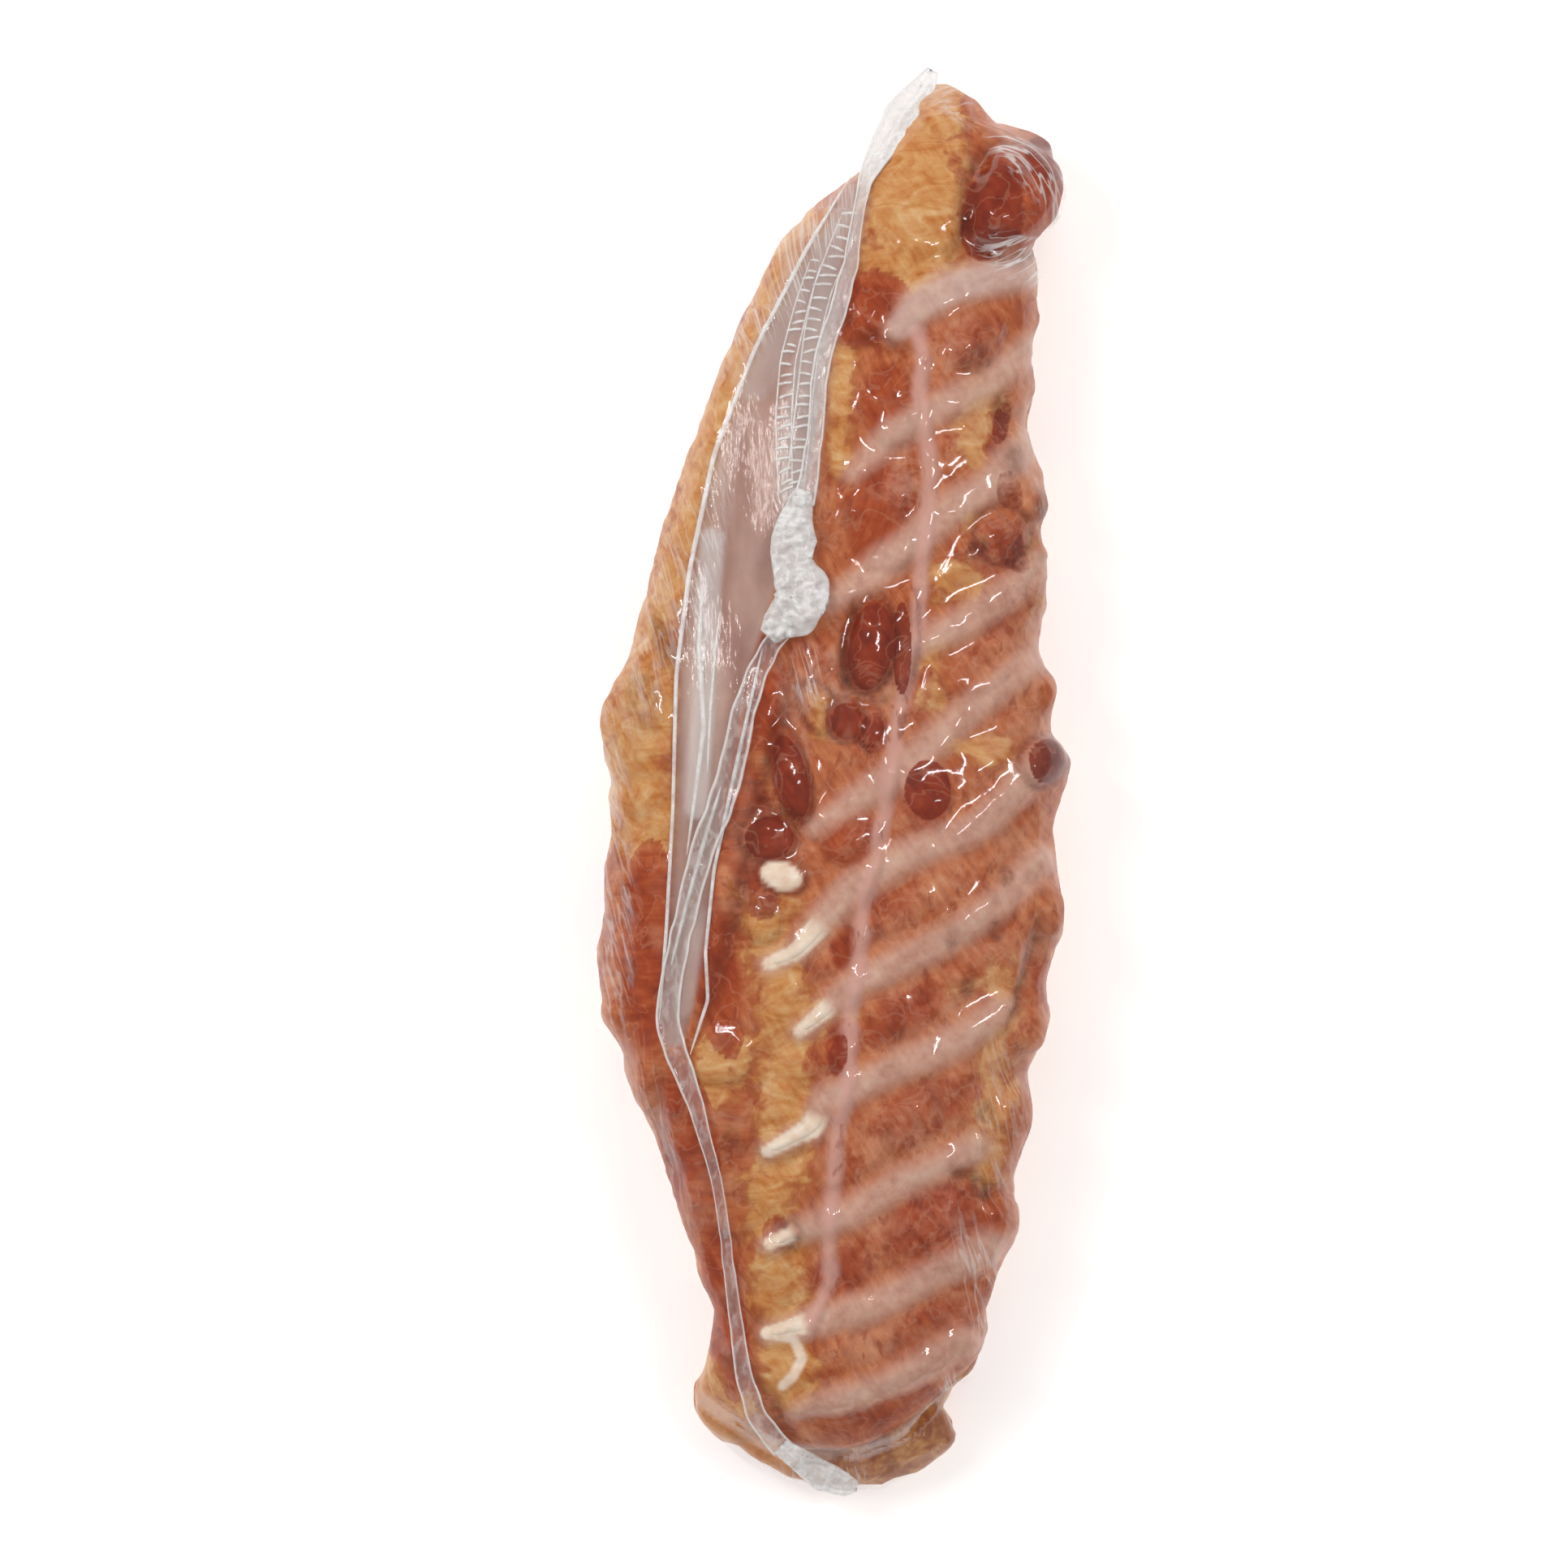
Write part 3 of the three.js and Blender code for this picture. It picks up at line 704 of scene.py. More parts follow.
def film_rings():
    """The film's smooth rings, over the front from +X to -X and back under, and each ring's end cap."""
    y, cap = rows(FILM_END, -FILM_END, FILM_ROWS)
    middle, half, back, centre, front = section(y)
    width = narrowed(half, cap)
    over = unit_arch(FILM_FRONT, FRONT_FULLNESS, DOMED)
    under = unit_arch(FILM_BACK, BACK_FULLNESS, DOMED)
    high, low = centre + WALL_HALF * cap, centre - WALL_HALF * cap
    x_front = middle + width * over[0]
    z_front = high + (front - high) * cap * over[1]
    drop = end_drop(x_front, y)
    rear_top = low + (FLAT_RISE + FILM_BRIDGE) * cap * over[1]
    z_front = z_front * (1 - drop) + np.minimum(rear_top, z_front) * drop
    t = (np.arange(FILM_WALLS) + 1) / (FILM_WALLS + 1)
    walls = np.broadcast_to(width, (FILM_ROWS, FILM_WALLS))
    x = np.concatenate([x_front, middle - walls, middle + width * under[0][::-1], middle + walls], axis=1)
    z_back = low + (back - low) * cap * under[1][::-1]
    z = np.concatenate([z_front, high + (low - high) * t, z_back, low + (high - low) * t], axis=1)
    return np.stack([x, y + 0 * x, z], -1), cap


def drape(relief, loose):
    """Film over relief: it touches the high spots and spans the hollows, further where it is loose."""
    film = relief.copy()
    for turn in range(DRAPE_LOOSE):
        pulled = film.copy()
        pulled[1:-1] = (np.roll(film, 1, 1) + np.roll(film, -1, 1))[1:-1] / 4 + (film[2:] + film[:-2]) / 4
        share = 1.0 if turn < DRAPE_TIGHT else loose
        film = np.maximum(relief, film + (pulled - film) * share)
    return film


# Cloudy bands in the film: (line, half width, strength).
CLOUDS = [
    ([(4, 168), (-2, 145), (-7, 120), (-10, 100), (-11, 84)], 8, 0.26),
    ([(-36, 70), (-37.5, 45), (-38.5, 20), (-40.5, -8)], 4.5, 0.4),
    ([(-6, 158), (-16, 132), (-24, 116)], 7, 0.2), ([(-40, -40), (-44, -66)], 4, 0.15),
    ([(19, 132), (26, 138.5), (36, 143.5), (58, 149)], 5.2, 0.2),
]


def strand_flow(x, y):
    """Coordinates that put noise in long strands: round the hub over the top lobe, lengthwise elsewhere."""
    radius = np.hypot(x - STRAND_HUB[0], (y - STRAND_HUB[1]) * 0.8)
    turn = np.arctan2(y - STRAND_HUB[1], x - STRAND_HUB[0]) * 20 / STRAND_STRETCH
    near = y > HUB_FROM
    across = np.where(near, radius, x + 0.25 * y)
    along = np.where(near, turn, y / STRAND_STRETCH)
    return np.stack([across, along, 0 * x], -1)


def film_bag():
    """The bag as one closed skin, draped over the meat's relief."""
    rings, cap = film_rings()
    normals = out_normals(rings)
    lit = lit_from_above(normals)
    x, y = rings[..., 0], rings[..., 1]
    drop, window = end_drop(x, y), window_mask(x, y) * lit
    flow = strand_flow(x, y)
    strands = strongest(x, y, STRANDS, 1.3, 0.8) * smooth(normals[..., 2], 0.1, 0.5)
    relief = front_relief(x, y) * (1 - drop) + end_relief(x, y) * drop
    relief = lit * relief + (1 - lit) * side_relief(rings)
    film = drape(relief * cap, np.maximum(window, drop * lit)) + FILM_CLEARANCE
    film += strands * STRAND_RISE * np.abs(rough_noise(flow, 3.5, 95, 2))
    points = rings + normals * film[..., None]
    points[..., 2] = np.maximum(points[..., 2], FILM_FLOOR)
    cloud = np.zeros_like(x)
    for line, half_width, strength in CLOUDS:
        gap, _ = to_line(x, y, line)
        cloud = np.maximum(cloud, strength * lit * smooth(half_width - gap, 0, half_width / 2))
    fields = {"window": window, "drop": drop * lit, "strands": strands, "flow": flow, "cloud": cloud}
    return tube_object("shrink_film", points, fields)


# ---------------------------------------------------------------- the seam

# Lines of the seam, from the mouth to the tail: [x, y, half width].
FOLD_STRIP = [
    (29.4, 209.3, 2), (26.6, 204.5, 3.8), (22.4, 199, 5), (18.8, 193.5, 5.1), (14.8, 187, 4.3),
    (11.6, 180.5, 3.3), (8.8, 174, 2), (7.2, 167, 1.7), (6, 159, 1.9), (4.6, 150, 2.3), (2.4, 141, 2.6),
    (-0.6, 132, 2.6), (-3.4, 123, 2.6), (-5, 110, 2.4), (-6, 98, 2.4), (-7.4, 88, 2.8), (-9, 80, 3.4),
]
CRUMPLE = [
    (-9, 84, 2.6), (-10.8, 77, 4.6), (-12, 69.5, 6.8), (-12, 62.5, 5.8), (-9.6, 57, 7.8), (-8.6, 52.5, 7),
    (-11.8, 48, 7.8), (-16.6, 44.4, 4.8), (-19.4, 41.4, 3),
]
RIBBON = [
    (-12, 44.5, 2), (-18, 40.6, 2.8), (-22.7, 31, 3.1), (-26.8, 19, 3.6), (-29.2, 7, 3.8), (-32.7, -6, 4),
    (-38, -19, 3.6), (-41.8, -33, 3.3), (-45.1, -47.5, 3.1), (-48.2, -62, 3.3), (-48.9, -71, 3.6),
    (-44.6, -83, 3.3), (-40.3, -95, 2.4), (-37, -107, 1.8), (-33.7, -119, 1.6), (-31.8, -133, 1.6),
    (-30.3, -147, 1.8), (-28.4, -162, 2.1), (-26.1, -176, 2.6), (-22, -188, 3.1), (-14.9, -196.4, 3.4),
]
TAIL_CRUMPLE = [
    (-15.6, -195.4, 2.8), (-9.4, -201, 3.8), (-3, -205.6, 4.6), (3.6, -208, 3.6), (7, -208.6, 1.6),
]
PLEATS = [
    [
        (5, 177, 0.5), (-8, 155, 0.7), (-23, 126, 0.7), (-35, 95, 0.8), (-42, 62, 0.8), (-46, 31, 0.7),
        (-47, -9, 0.6), (-49, -45, 0.6), (-51, -70, 0.6),
    ],
    [(-21, 38, 0.5), (-29, 2, 0.7), (-35, -26, 0.6), (-37.5, -50, 0.6), (-36.8, -64, 0.6), (-42, -80, 0.5)],
    [(-33, -2, 0.5), (-38.5, -20, 0.7), (-43, -36, 0.6), (-47.5, -54, 0.5)],
    [(-38, 60, 0.4), (-39.5, 40, 0.8), (-38, 15, 0.9), (-41, -8, 0.6), (-43, -22, 0.3)],
    [(-34, 45, 0.3), (-36, 22, 0.5), (-37, 2, 0.3)],
]
# The two columns of heat-seal marks beside the strip.
LADDERS = [
    [
        (4.4, 164, 2.4), (1, 154, 3), (-3.4, 143, 2.7), (-6.4, 130, 2.4), (-8.6, 112, 2.3), (-10, 98, 2.5),
        (-11.4, 86, 2.6),
    ],
    [
        (-5.5, 151, 1.6), (-9.6, 138, 2), (-13.6, 122, 2.2), (-14.8, 106, 2.3), (-14.6, 92, 2.2),
        (-14, 83, 1.8),
    ],
]
RUNG_PITCH = 3.0
RUNG_RADIUS, RAIL_RADIUS, PLEAT_RADIUS = 0.42, 0.24, 0.9
RUNG_TILT = 0.9  # how far up the pack a rung's right end is turned
STRIP_WALL = 0.3
STRIP_LIFT = 0.35  # a strip's height over the bag at its sides
WAD_LIFT = 0.1
STRIP_DROOP = 2.5  # how far a strip's side may lie below or above its middle
STRIP_COLUMNS = 17
STRIP_MIDDLE = STRIP_COLUMNS // 2
CURL_AT, CURL_WIDTH = 0.86, 0.13  # where a strip's side curls up, in half widths from its middle
MOUTH_FROM, MOUTH_TO = 165, 185  # from here to the mouth the strip is thick and white
EDGE_HEIGHT = 22.0  # where a strip that passes the film's edge looks for the nearest film
SKY = 200  # over everything


class Cover:
    """The draped film, to lay things on."""

    def __init__(self, film):
        points = [v.co / MM for v in film.data.vertices]
        self.tree = BVHTree.FromPolygons(points, [p.vertices for p in film.data.polygons])

    def height(self, x, y):
        """The film's height under each point, or the nearest film's where a point is past its edge."""
        heights = np.empty(np.size(x))
        for i, (px, py) in enumerate(zip(np.ravel(x), np.ravel(y))):
            hit = self.tree.ray_cast(Vector((px, py, SKY)), Vector((0, 0, -1)))[0]
            heights[i] = hit.z if hit else self.tree.find_nearest(Vector((px, py, EDGE_HEIGHT)))[0].z
        return heights.reshape(np.shape(x))


def laid_route(line, step, softening):
    """Places every step along a line, their leftward directions, and their shares of the line."""
    length = np.hypot(*np.diff(np.array(line)[:, :2], axis=0).T).sum()
    share = np.linspace(0, 1, max(6, int(length / step)))
    route = along_line(line, share, softening)
    return route, leftward(route), share


def strip(name, cover, line, step, dome, curl, crumple, seed, whiter=0.0, filled=False):
    """A strip of film laid along a line, domed across, with curled sides and crumpled faces.

    It is thin, or where filled it is a wad that lies on the bag with its whole underside.
    """
    route, left, _ = laid_route(line, step, 40)
    u = np.linspace(-1, 1, STRIP_COLUMNS)
    wander = 0.12 * lattice_noise(np.stack([route[:, 0], route[:, 1], 0 * route[:, 0]], -1), 5, seed)
    across = (u + wander[:, None]) * route[:, 2:3]
    x = route[:, :1] + left[:, :1] * across
    y = route[:, 1:2] + left[:, 1:] * across
    flat = np.stack([x, y, 0 * x], -1)
    rest = cover.height(x, y)
    rest = np.maximum(soften(rest, 6), rest)
    spine = soften(rest[:, STRIP_MIDDLE : STRIP_MIDDLE + 1], 12)
    rest = np.clip(rest, spine - STRIP_DROOP, spine + STRIP_DROOP)
    folds = np.abs(rough_noise(flat, 3.2, seed + 1)) + 0.6 * np.abs(rough_noise(flat, 1.7, seed + 2))
    curls = bell(u, CURL_AT, CURL_WIDTH) + bell(u, -CURL_AT, CURL_WIDTH)
    rise = STRIP_LIFT + dome * (1 - u**2) + curl * curls
    top = np.stack([x, y, rest + rise + crumple * (0.2 + folds)], -1)
    bottom = np.stack([x, y, rest + WAD_LIFT], -1) if filled else top - np.array([0, 0, STRIP_WALL])
    all_round = (len(x), 2 * len(u))
    near_mouth = smooth(route[:, 1:2], MOUTH_FROM, MOUTH_TO)
    fields = {
        "edge": np.broadcast_to(np.concatenate([np.abs(u), np.abs(u[::-1])]), all_round),
        "haze": np.broadcast_to(0.06 + whiter + 0.45 * near_mouth, all_round),
        "fullness": np.broadcast_to(0.14 + 0.2 * near_mouth, all_round),
    }
    return tube_object(name, np.concatenate([top[:, ::-1], bottom], axis=1), fields)


def joined(name, pieces):
    """One object made of several closed tubes of rings."""
    points, faces, base = [], [], 0
    for rings in pieces:
        count, sides = rings.shape[:2]
        points.append(rings.reshape(-1, 3))
        first = list(range(base, base + sides))
        last = [(count - 1) * sides + i for i in first]
        faces += (grid_faces(count, sides, True) + base).tolist() + [first, last[::-1]]
        base += count * sides
    return make_object(name, np.concatenate(points), faces)


def bead_rings(cover, line, radius, step=0.7, sink=0.3):
    """Rings of a fine raised bead of film along a line, thinning out at both ends."""
    route, left, share = laid_route(line, step, 20)
    angle = np.linspace(0, 2 * math.pi, 8, endpoint=False)
    size = radius * np.minimum(1, np.sqrt(np.minimum(share, 1 - share) * 12 + 0.05))[:, None]
    if len(line[0]) > 2:
        size = size * route[:, 2:3]
    x = route[:, :1] + left[:, :1] * size * np.cos(angle)
    y = route[:, 1:2] + left[:, 1:] * size * np.cos(angle)
    rest = soften(cover.height(route[:, 0], route[:, 1])[:, None], 2)
    return np.stack([x, y, rest + size * (np.sin(angle) + sink)], -1)


def ladder_beads(cover, ladder, seed):
    """Rungs and rails of one column of heat-seal marks."""
    route, left, _ = laid_route(ladder, RUNG_PITCH, 20)
    jitter = np.random.default_rng(seed).uniform(-0.5, 0.5, (len(route), 2))
    beads = []
    for (x, y, half), (lx, ly), (slide, tilt) in zip(route, left, jitter):
        start = (x - lx * half * (1 + slide * 0.5), y - ly * half + slide * 1.2)
        end = (x + lx * half * (0.85 + tilt * 0.7), y + ly * half + slide * 1.2 + RUNG_TILT + tilt * 2)
        bend = ((start[0] + end[0]) / 2, (start[1] + end[1]) / 2 + 0.2)
        beads.append(bead_rings(cover, [start, bend, end], RUNG_RADIUS, 0.6))
    for side in (-1, 1):
        rail = [(x + lx * half * side, y + ly * half * side) for (x, y, half), (lx, ly) in zip(route, left)]
        beads.append(bead_rings(cover, rail, RAIL_RADIUS, 0.8, 0.1))
    return beads


def seam_pieces(cover):
    """Every piece of the folded seam, by what it is."""
    fold, ribbon = {"step": 0.9, "whiter": 0.1}, {"step": 0.9}
    wad = {"step": 0.5, "filled": True}
    rungs = ladder_beads(cover, LADDERS[0], 5) + ladder_beads(cover, LADDERS[1], 6)
    pleats = [bead_rings(cover, pleat, PLEAT_RADIUS, 1.0, -0.3) for pleat in PLEATS]
    return {
        "fold": [
            strip("seam_fold_strip", cover, FOLD_STRIP, dome=0.5, curl=0.8, crumple=0.35, seed=101, **fold),
            strip("seam_ribbon", cover, RIBBON, dome=0.2, curl=0.7, crumple=0.3, seed=111, **ribbon),
        ],
        "frost": [
            strip("seam_crumple", cover, CRUMPLE, dome=1.6, curl=0.2, crumple=2.6, seed=121, **wad),
            strip("tail_crumple", cover, TAIL_CRUMPLE, dome=0.8, curl=0.3, crumple=1.3, seed=131, **wad),
        ],
        "line": [joined("seal_ladder", rungs), joined("film_pleats", pleats)],
    }


# ---------------------------------------------------------------- materials


def srgb(r, g, b):
    """A colour given as 0 to 255 screen values, as the linear values that shaders take."""
    def linear(v):
        v /= 255
        return v / 12.92 if v <= 0.04045 else ((v + 0.055) / 1.055) ** 2.4
    return linear(r), linear(g), linear(b), 1.0


LEAST_ROUGH, MORE_ROUGH = 0.36, 0.2  # the meat's roughness, and what its finest grain adds


class Look:
    """A material, and short ways to add nodes to it."""

    def __init__(self, name):
        self.material = bpy.data.materials.new(name)
        self.material.use_nodes = True
        self.nodes = self.material.node_tree.nodes
        self.links = self.material.node_tree.links
        self.nodes.clear()
        self.place = self.node("ShaderNodeTexCoord").outputs["Object"]

    def node(self, kind, settings=None, **inputs):
        """A new node; each input is named, or numbered as _0, _1 and so on."""
        made = self.nodes.new(kind)
        for key, value in (settings or {}).items():
            setattr(made, key, value)
        for key, value in inputs.items():
            name = int(key[1:]) if key[0] == "_" and key[1:].isdigit() else key.replace("_", " ")
            self.feed(made.inputs[name], value)
        return made

    def feed(self, socket, value):
        if isinstance(value, bpy.types.NodeSocket):
            self.links.new(value, socket)
        else:
            socket.default_value = value

    def field(self, name):
        """A value that the mesh carries."""
        return self.node("ShaderNodeAttribute", {"attribute_name": name}).outputs["Fac"]

    def math(self, operation, a, b=0.0, c=0.0, clamp=False):
        settings = {"operation": operation, "use_clamp": clamp}
        return self.node("ShaderNodeMath", settings, _0=a, _1=b, _2=c).outputs[0]

    def times(self, a, b):
        return self.math("MULTIPLY", a, b)

    def plus(self, base, value, amount, clamp=False):
        """base, and so much of a value added to it."""
        return self.math("MULTIPLY_ADD", value, amount, base, clamp)

    def inverse(self, value):
        """1 minus a value."""
        return self.math("SUBTRACT", 1.0, value)

    def lines(self, noise, core, edge):
        """1 along the lines where noise crosses its middle, fading out from core to edge away from them."""
        away = self.math("ABSOLUTE", self.math("SUBTRACT", noise, 0.5))
        return self.inverse(self.step(away, core, edge))

    def noise(self, size, detail=4.0, roughness=0.55, stretch=(1, 1, 1), turn=0.0, distortion=0.0):
        """Noise from about 0 to 1, with lumps about size millimetres across before stretching."""
        mapping = self.node("ShaderNodeMapping", _0=self.place)
        mapping.inputs["Rotation"].default_value = (0, 0, math.radians(turn))
        mapping.inputs["Scale"].default_value = tuple(1 / s for s in stretch)
        shape = {"Detail": detail, "Roughness": roughness, "Distortion": distortion}
        noise = self.node("ShaderNodeTexNoise", Vector=mapping.outputs[0], Scale=1 / (size * MM), **shape)
        return noise.outputs["Fac"]

    def streaks(self, name, size, detail=3.0, roughness=0.55):
        """Noise read at the places, in millimetres, of a vector field."""
        places = self.node("ShaderNodeAttribute", {"attribute_name": name}).outputs["Vector"]
        noise = self.node("ShaderNodeTexNoise", Vector=places, Scale=1 / size, Detail=detail, Roughness=roughness)
        return noise.outputs["Fac"]

    def mixed(self, a, share, b):
        """share of a and the rest of b."""
        return self.plus(self.times(b, 1 - share), a, share)

    def shifted(self, value, noise, reach):
        """A value moved up and down by noise, at most about half of reach each way."""
        return self.math("ADD", value, self.times(self.math("SUBTRACT", noise, 0.5), reach))

    def step(self, value, low, high):
        """0 below low, 1 above high, smooth between."""
        settings = {"interpolation_type": "SMOOTHSTEP"}
        return self.node("ShaderNodeMapRange", settings, Value=value, From_Min=low, From_Max=high).outputs[0]

    def ramp(self, value, stops):
        """The colour that stops give a value."""
        ramp = self.node("ShaderNodeValToRGB", Fac=value)
        elements = ramp.color_ramp.elements
        while len(elements) < len(stops):
            elements.new(0.5)
        for element, (position, colour) in zip(elements, stops):
            element.position = position
            element.color = srgb(*colour)
        return ramp.outputs[0]

    def blend(self, factor, a, b):
        """Colour a where factor is 0 and colour b where it is 1."""
        mix = self.node("ShaderNodeMix", {"data_type": "RGBA"}, _0=factor)
        first, second = [s for s in mix.inputs if s.type == "RGBA"]
        self.feed(first, a)
        self.feed(second, b)
        return next(s for s in mix.outputs if s.type == "RGBA")

    def lay(self, under, over, mask, strength):
        """Colour under, with colour over laid on it where a mask says, never more strongly than strength."""
        return self.blend(self.times(mask, strength), under, over)

    def bump(self, height, distance, strength=1.0):
        """A surface direction roughened by height, in millimetres of distance."""
        return self.node("ShaderNodeBump", Height=height, Distance=distance * MM, Strength=strength).outputs[0]

    def flesh(self, colour, grain, normal):
        """Moist meat under film: a little light passes through it."""
        roughness = self.plus(LEAST_ROUGH, grain, MORE_ROUGH)
        surface = self.node("ShaderNodeBsdfPrincipled", Base_Color=colour, Roughness=roughness, Normal=normal)
        surface.inputs["Specular IOR Level"].default_value = 0.12
        surface.inputs["Subsurface Weight"].default_value = 0.12
        surface.inputs["Subsurface Radius"].default_value = (1.0, 0.35, 0.2)
        surface.inputs["Subsurface Scale"].default_value = 3 * MM
        return self.finish(surface.outputs[0])

    def finish(self, shader):
        self.node("ShaderNodeOutputMaterial", Surface=shader)
        return self.material


# Colours from dark to light, each with its place on a scale of noise.
PLAIN_MEAT = [(0.3, (142, 54, 22)), (0.44, (172, 85, 44)), (0.58, (196, 115, 70)), (0.76, (214, 156, 114))]
LEAN_MEAT = [(0.3, (118, 34, 8)), (0.5, (162, 64, 24)), (0.72, (190, 98, 54))]
BELLY_FAT = [(0.3, (170, 88, 34)), (0.44, (198, 128, 66)), (0.58, (212, 158, 100)), (0.76, (226, 196, 152))]
FAT_RIM = [(0.3, (156, 70, 26)), (0.7, (192, 118, 66))]
RIB_SKIN = [(0.3, (188, 136, 116)), (0.5, (208, 166, 148)), (0.7, (222, 192, 176))]
GLAND_RED = [(0.3, (98, 18, 4)), (0.6, (144, 46, 14)), (0.8, (176, 80, 40))]
WINDOW_MAUVE = [(0.3, (152, 108, 94)), (0.55, (180, 144, 130)), (0.8, (204, 176, 162))]
BONE_WHITE = [(0.25, (226, 190, 158)), (0.6, (246, 226, 206))]
END_BROWN = [(0.32, (122, 48, 14)), (0.48, (172, 98, 42)), (0.62, (208, 146, 82)), (0.75, (230, 196, 146))]
TAN_FAT = [(0.3, (178, 96, 36)), (0.5, (208, 138, 76)), (0.72, (226, 172, 114))]
STRING_PINK = srgb(214, 164, 152)
VEIL_PINK = srgb(196, 148, 128)
# Dark red of the real spots, also laid as painted shade in the creases and round the lumps' rims.
SPOT_AND_SHADE_RED = srgb(92, 26, 8)
BLOTCH_RED = srgb(134, 46, 16)
VEIN_PINK = srgb(216, 170, 140)


def front_meat_material():
    """Lean with fibres square to the ribs, fat with brown rims, skin over the ribs, membrane and gristle, with
    painted shade in the creases and round the high lumps.
    """
    look = Look("smoked_rib_meat")
    fibre = look.streaks("grain", 1.9, 3, 0.5)
    medium = look.noise(7, 3, 0.5, distortion=0.6)
    broad = look.noise(17, 3, 0.5)
    fine = look.noise(2.2, 3, 0.5)
    tone = look.mixed(fibre, 0.4, look.mixed(medium, 0.8, fine))

    lean = look.step(look.field("lean"), 0.15, 0.85)
    colour = look.blend(lean, look.ramp(tone, PLAIN_MEAT), look.ramp(tone, LEAN_MEAT))
    colour = look.lay(colour, VEIN_PINK, look.step(broad, 0.5, 0.72), strength=0.25)
    fat = look.shifted(look.shifted(look.field("fat"), medium, 1.3), fine, 0.35)
    marbling = look.noise(6.5, 5, 0.62, stretch=(1.8, 1, 1), turn=-30, distortion=1.2)
    fat_tone = look.mixed(marbling, 0.72, fibre)
    colour = look.blend(look.step(fat, 0.3, 0.58), colour, look.ramp(fat_tone, FAT_RIM))
    colour = look.blend(look.step(fat, 0.46, 0.78), colour, look.ramp(fat_tone, BELLY_FAT))

    rib = look.shifted(look.field("rib"), medium, 5)
    skin = look.ramp(look.mixed(fine, 0.3, look.mixed(medium, 0.8, fibre)), RIB_SKIN)
    colour = look.lay(colour, skin, look.inverse(look.step(rib, -2.6, 3.8)), strength=0.82)
    string = look.step(look.shifted(look.field("string"), medium, 2.8), 0.8, 3.6)
    colour = look.lay(colour, STRING_PINK, look.inverse(string), strength=0.75)
    veil = look.times(look.field("veil"), look.step(look.mixed(medium, 0.6, fine), 0.34, 0.66))
    colour = look.blend(veil, colour, VEIL_PINK)

    gland = look.step(look.shifted(look.field("gland"), fine, 0.5), 0.35, 0.65)
    colour = look.lay(colour, look.ramp(tone, GLAND_RED), gland, strength=0.9)
    # Real dark spots, with painted shade in the creases and round the high lumps' rims.
    dark = look.times(look.field("dark"), look.step(look.mixed(fine, 0.6, medium), 0.3, 0.6))
    colour = look.lay(colour, SPOT_AND_SHADE_RED, dark, strength=0.8)
    blotch = look.noise(4.6, 3, 0.5, stretch=(0.7, 1.7, 1), turn=-30, distortion=0.7)
    off_fat = look.inverse(look.step(fat, 0.35, 0.6))
    bare = look.times(off_fat, look.step(rib, 0.5, 2.5))
    colour = look.lay(colour, BLOTCH_RED, look.times(look.step(blotch, 0.57, 0.7), bare), strength=0.5)
    veins = look.lines(look.noise(12, 3, 0.5, distortion=0.8), 0.004, 0.03)
    colour = look.lay(colour, VEIN_PINK, veins, strength=0.14)

    haze = look.ramp(look.noise(16, 2, 0.45, stretch=(0.5, 2.4, 1), turn=-12), WINDOW_MAUVE)
    colour = look.lay(colour, haze, look.field("window"), strength=0.85)
    bone = look.ramp(look.mixed(fine, 0.4, medium), BONE_WHITE)
    colour = look.blend(look.field("white"), colour, bone)
    return look.flesh(colour, fine, look.bump(look.mixed(fibre, 0.6, fine), 0.18, 0.6))


def rear_meat_material():
    """The second slab: a smoked fat cover with lean showing through, tan and brown at its bare end."""
    look = Look("smoked_fat_cover")
    broad = look.noise(26, 4, 0.6, distortion=0.8)
    medium = look.noise(8, 5, 0.6, stretch=(1, 2.2, 1), distortion=1.0)
    fine = look.noise(2.2, 5, 0.65)
    tone = look.mixed(medium, 0.6, fine)
    cover = look.step(look.shifted(broad, medium, 0.6), 0.42, 0.54)
    colour = look.blend(cover, look.ramp(tone, LEAN_MEAT), look.ramp(tone, BELLY_FAT))
    bare = look.blend(look.field("left_end"), look.ramp(tone, END_BROWN), look.ramp(tone, TAN_FAT))
    colour = look.blend(look.field("bare"), colour, bare)
    return look.flesh(colour, fine, look.bump(tone, 0.5, 0.6))


FILM_IOR = 1.5
FILM_SHINE = 0.85
MOST_SHINE = 0.22  # the film's mirror share at a glancing angle
WINDOW_DULLS = 0.6  # the share of the shine that the window takes away
FILM_WHITE = srgb(252, 250, 248)


def film_shader(look, milk, height, rise, roughness=0.07, through=0.3, shine=FILM_SHINE):
    """Glossy film that is clear where milk is 0 and white where it is 1. Only its outward side shines."""
    normal = look.bump(height, rise, 0.7)
    outward = look.inverse(look.node("ShaderNodeNewGeometry").outputs["Backfacing"])
    fresnel = look.node("ShaderNodeFresnel", IOR=FILM_IOR, Normal=normal).outputs[0]
    shine = look.times(look.math("MINIMUM", look.times(fresnel, shine), MOST_SHINE), outward)
    gloss = look.node("ShaderNodeBsdfGlossy", Color=(1, 1, 1, 1), Roughness=roughness, Normal=normal)
    clear = look.node("ShaderNodeBsdfTransparent", Color=(1, 1, 1, 1))
    white = look.node("ShaderNodeBsdfDiffuse", Color=FILM_WHITE, Normal=normal)
    glow = look.node("ShaderNodeBsdfTranslucent", Color=FILM_WHITE)
    body = look.node("ShaderNodeMixShader", _0=through, _1=white.outputs[0], _2=glow.outputs[0])
    film = look.node("ShaderNodeMixShader", _0=milk, _1=clear.outputs[0], _2=body.outputs[0])
    shiny = look.node("ShaderNodeMixShader", _0=shine, _1=film.outputs[0], _2=gloss.outputs[0])
    return look.finish(shiny.outputs[0])


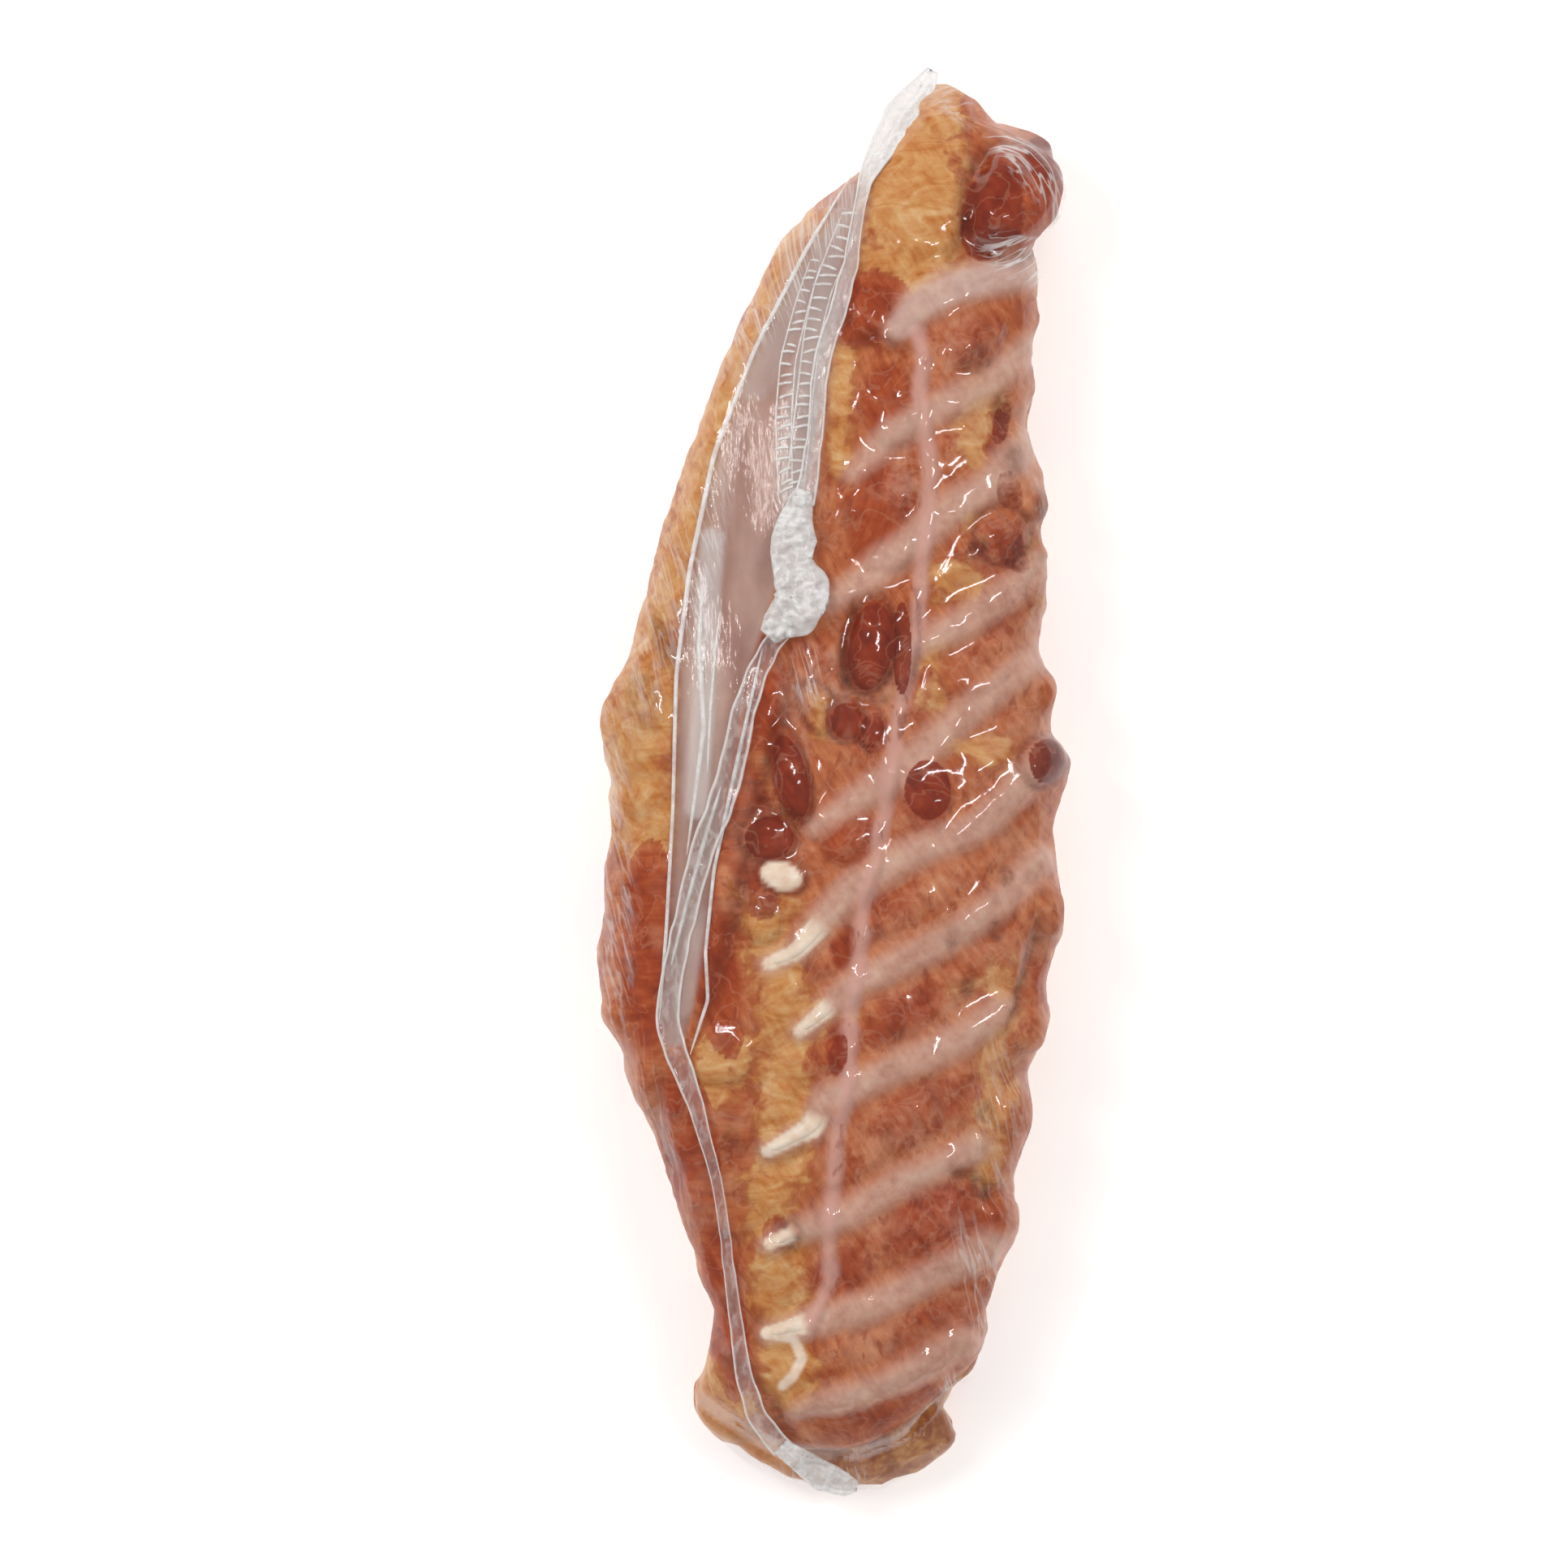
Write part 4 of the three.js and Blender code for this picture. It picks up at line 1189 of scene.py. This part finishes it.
def bag_film_material():
    """The bag: clear where it lies tight, milky over the window and where it is drawn into strands."""
    look = Look("clear_shrink_film")
    strands, window = look.field("strands"), look.field("window")
    threads = look.streaks("flow", 3.4, 3, 0.5)
    ripple = look.noise(9, 3, 0.5, stretch=(1, 2.4, 1), distortion=1.2)
    hairs = look.lines(look.streaks("flow", 2.2, 2, 0.5), 0.008, 0.05)
    drawn = look.plus(look.times(hairs, 0.55), look.step(threads, 0.45, 0.8), 0.5)
    milk = look.times(strands, drawn)
    milk = look.plus(milk, window, 0.1)
    milk = look.plus(milk, look.field("cloud"), look.plus(0.6, ripple, 0.8))
    milk = look.plus(milk, look.field("drop"), 0.06, clamp=True)
    crinkle = look.noise(2.6, 2, 0.5, stretch=(0.6, 3, 1), turn=-14)
    height = look.plus(look.times(ripple, 0.6), crinkle, look.times(window, 0.45))
    height = look.plus(height, look.times(threads, strands), 0.9)
    shine = look.plus(FILM_SHINE, window, -WINDOW_DULLS * FILM_SHINE)
    return film_shader(look, milk, height, 0.5, shine=shine)


def folded_film_material():
    """The seam's folded strips: several layers thick, whitest along the curled edges."""
    look = Look("folded_film")
    crinkle = look.noise(2.4, 3, 0.55, stretch=(1, 2.2, 1), distortion=1.0)
    milk = look.plus(look.field("haze"), look.step(crinkle, 0.42, 0.66), look.field("fullness"))
    milk = look.plus(milk, look.step(look.field("edge"), 0.7, 0.92), 0.55, clamp=True)
    return film_shader(look, milk, crinkle, 0.25, 0.1, 0.15)


def crumpled_film_material():
    """Film crushed into a frosty lump."""
    look = Look("crumpled_film")
    crinkle = look.noise(4.2, 1.5, 0.45, distortion=0.9)
    return film_shader(look, look.plus(0.5, look.step(crinkle, 0.35, 0.65), 0.4), crinkle, 0.3, 0.12, 0.15)


def seal_line_material():
    """Fine raised lines: heat-seal marks and pleats."""
    look = Look("sealed_film_lines")
    patchy = look.noise(3.5, 3, 0.5)
    return film_shader(look, look.plus(0.4, look.step(patchy, 0.35, 0.65), 0.35), patchy, 0.2, 0.15, 0.1)


# ---------------------------------------------------------------- assembly


def dress(thing, material, slot_name, *nodes):
    """Gives a piece its material, hangs it under the root body and hides the CAD nodes that it stands for;
    slot_name is not used.
    """
    thing.data.materials.append(material)
    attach(thing, "root")
    if nodes:
        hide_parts(*nodes)


def build_object():
    """Every piece of the pack, with its material."""
    meat = front_meat_material()
    dress(front_slab(), meat, "smoked_meat", "front_rib_slab")
    dress(rear_slab(), rear_meat_material(), "smoked_meat", "rear_rib_slab")
    for i, (line, half_width) in enumerate(zip(RIBS, RIB_HALF_WIDTHS)):
        bone = rib_bone(i + 1, line, half_width, WHITE_TIPS.get(i, 0))
        dress(bone, meat, "rib_bone", f"rib_bone_{i + 1:02d}")
    film = film_bag()
    dress(film, bag_film_material(), "shrink_film", "film_bag")
    looks = {"fold": folded_film_material(), "frost": crumpled_film_material(), "line": seal_line_material()}
    for kind, things in seam_pieces(Cover(film)).items():
        for thing in things:
            dress(thing, looks[kind], "shrink_film", "film_seam")


# ---------------------------------------------------------------- studio

# Metres from here on.
CAMERA_PLACE = (-0.0147, -0.0013, 2.6)  # straight above, looking down
FOCUS_HEIGHT = 0.04
FRAME_WIDTH = 0.4597  # how much of the pack's plane the picture shows
SENSOR_WIDTH = 36
FLOOR_REACH = 3.0
SKY_STRENGTH = 0.4
FLOOR_GLOW = 0.38

# Softboxes that light without showing in the film: (name, place, width, length, watts).
SOFTBOXES = [
    ("left_softbox", (-1.3, 0.5, 1.5), 1.0, 1.0, 10), ("right_softbox", (1.3, 0.3, 1.4), 1.0, 1.0, 4.5),
    ("top_softbox", (0.1, 1.6, 1.2), 0.9, 0.9, 5.5),
]
# Narrow strip lights, whose reflections make the film's glints.
STRIP_LIGHTS = [
    ("left_strip", (-0.75, 0.55, 1.6), 0.06, 0.6, 4.5), ("right_strip", (0.8, 0.2, 1.7), 0.06, 0.5, 3.5),
]


def add_floor():
    """A pale floor that glows a little, so that it is as white as the photo's ground."""
    mesh = bpy.data.meshes.new("floor")
    r = FLOOR_REACH
    mesh.from_pydata([(-r, -r, 0), (r, -r, 0), (r, r, 0), (-r, r, 0)], [], [(0, 1, 2, 3)])
    floor = bpy.data.objects.new("floor", mesh)
    bpy.context.scene.collection.objects.link(floor)
    look = Look("pale_floor")
    paper = look.ramp(look.noise(40, 3), [(0.0, (250, 250, 250)), (1.0, (254, 254, 254))])
    lit = look.node("ShaderNodeBsdfDiffuse", Color=paper)
    glow = look.node("ShaderNodeEmission", Color=paper, Strength=FLOOR_GLOW)
    both = look.node("ShaderNodeAddShader", _0=lit.outputs[0], _1=glow.outputs[0])
    floor.data.materials.append(look.finish(both.outputs[0]))


def add_sky():
    """Even white light from all round."""
    world = bpy.data.worlds.new("studio")
    world.use_nodes = True
    background = world.node_tree.nodes["Background"]
    background.inputs["Color"].default_value = (1, 1, 1, 1)
    background.inputs["Strength"].default_value = SKY_STRENGTH
    bpy.context.scene.world = world


def add_camera():
    """The photo's view."""
    scene = bpy.context.scene
    scene.view_settings.view_transform = "Standard"
    data = bpy.data.cameras.new("camera")
    data.sensor_width = SENSOR_WIDTH
    data.lens = SENSOR_WIDTH * (CAMERA_PLACE[2] - FOCUS_HEIGHT) / FRAME_WIDTH
    camera = bpy.data.objects.new("camera", data)
    camera.location = CAMERA_PLACE
    scene.collection.objects.link(camera)
    scene.camera = camera


def add_light(name, place, width, length, power):
    """A rectangular light that faces the middle of the floor."""
    data = bpy.data.lights.new(name, "AREA")
    data.shape = "RECTANGLE"
    data.size = width
    data.size_y = length
    data.energy = power
    light = bpy.data.objects.new(name, data)
    light.location = place
    x, y, z = place
    light.rotation_euler = (math.atan2(math.hypot(x, y), z), 0, math.atan2(y, x) + math.pi / 2)
    bpy.context.scene.collection.objects.link(light)
    return light


def studio():
    add_floor()
    add_sky()
    for light in SOFTBOXES:
        add_light(*light).visible_glossy = False
    for light in STRIP_LIGHTS:
        add_light(*light)
    add_camera()


build_object()
studio()
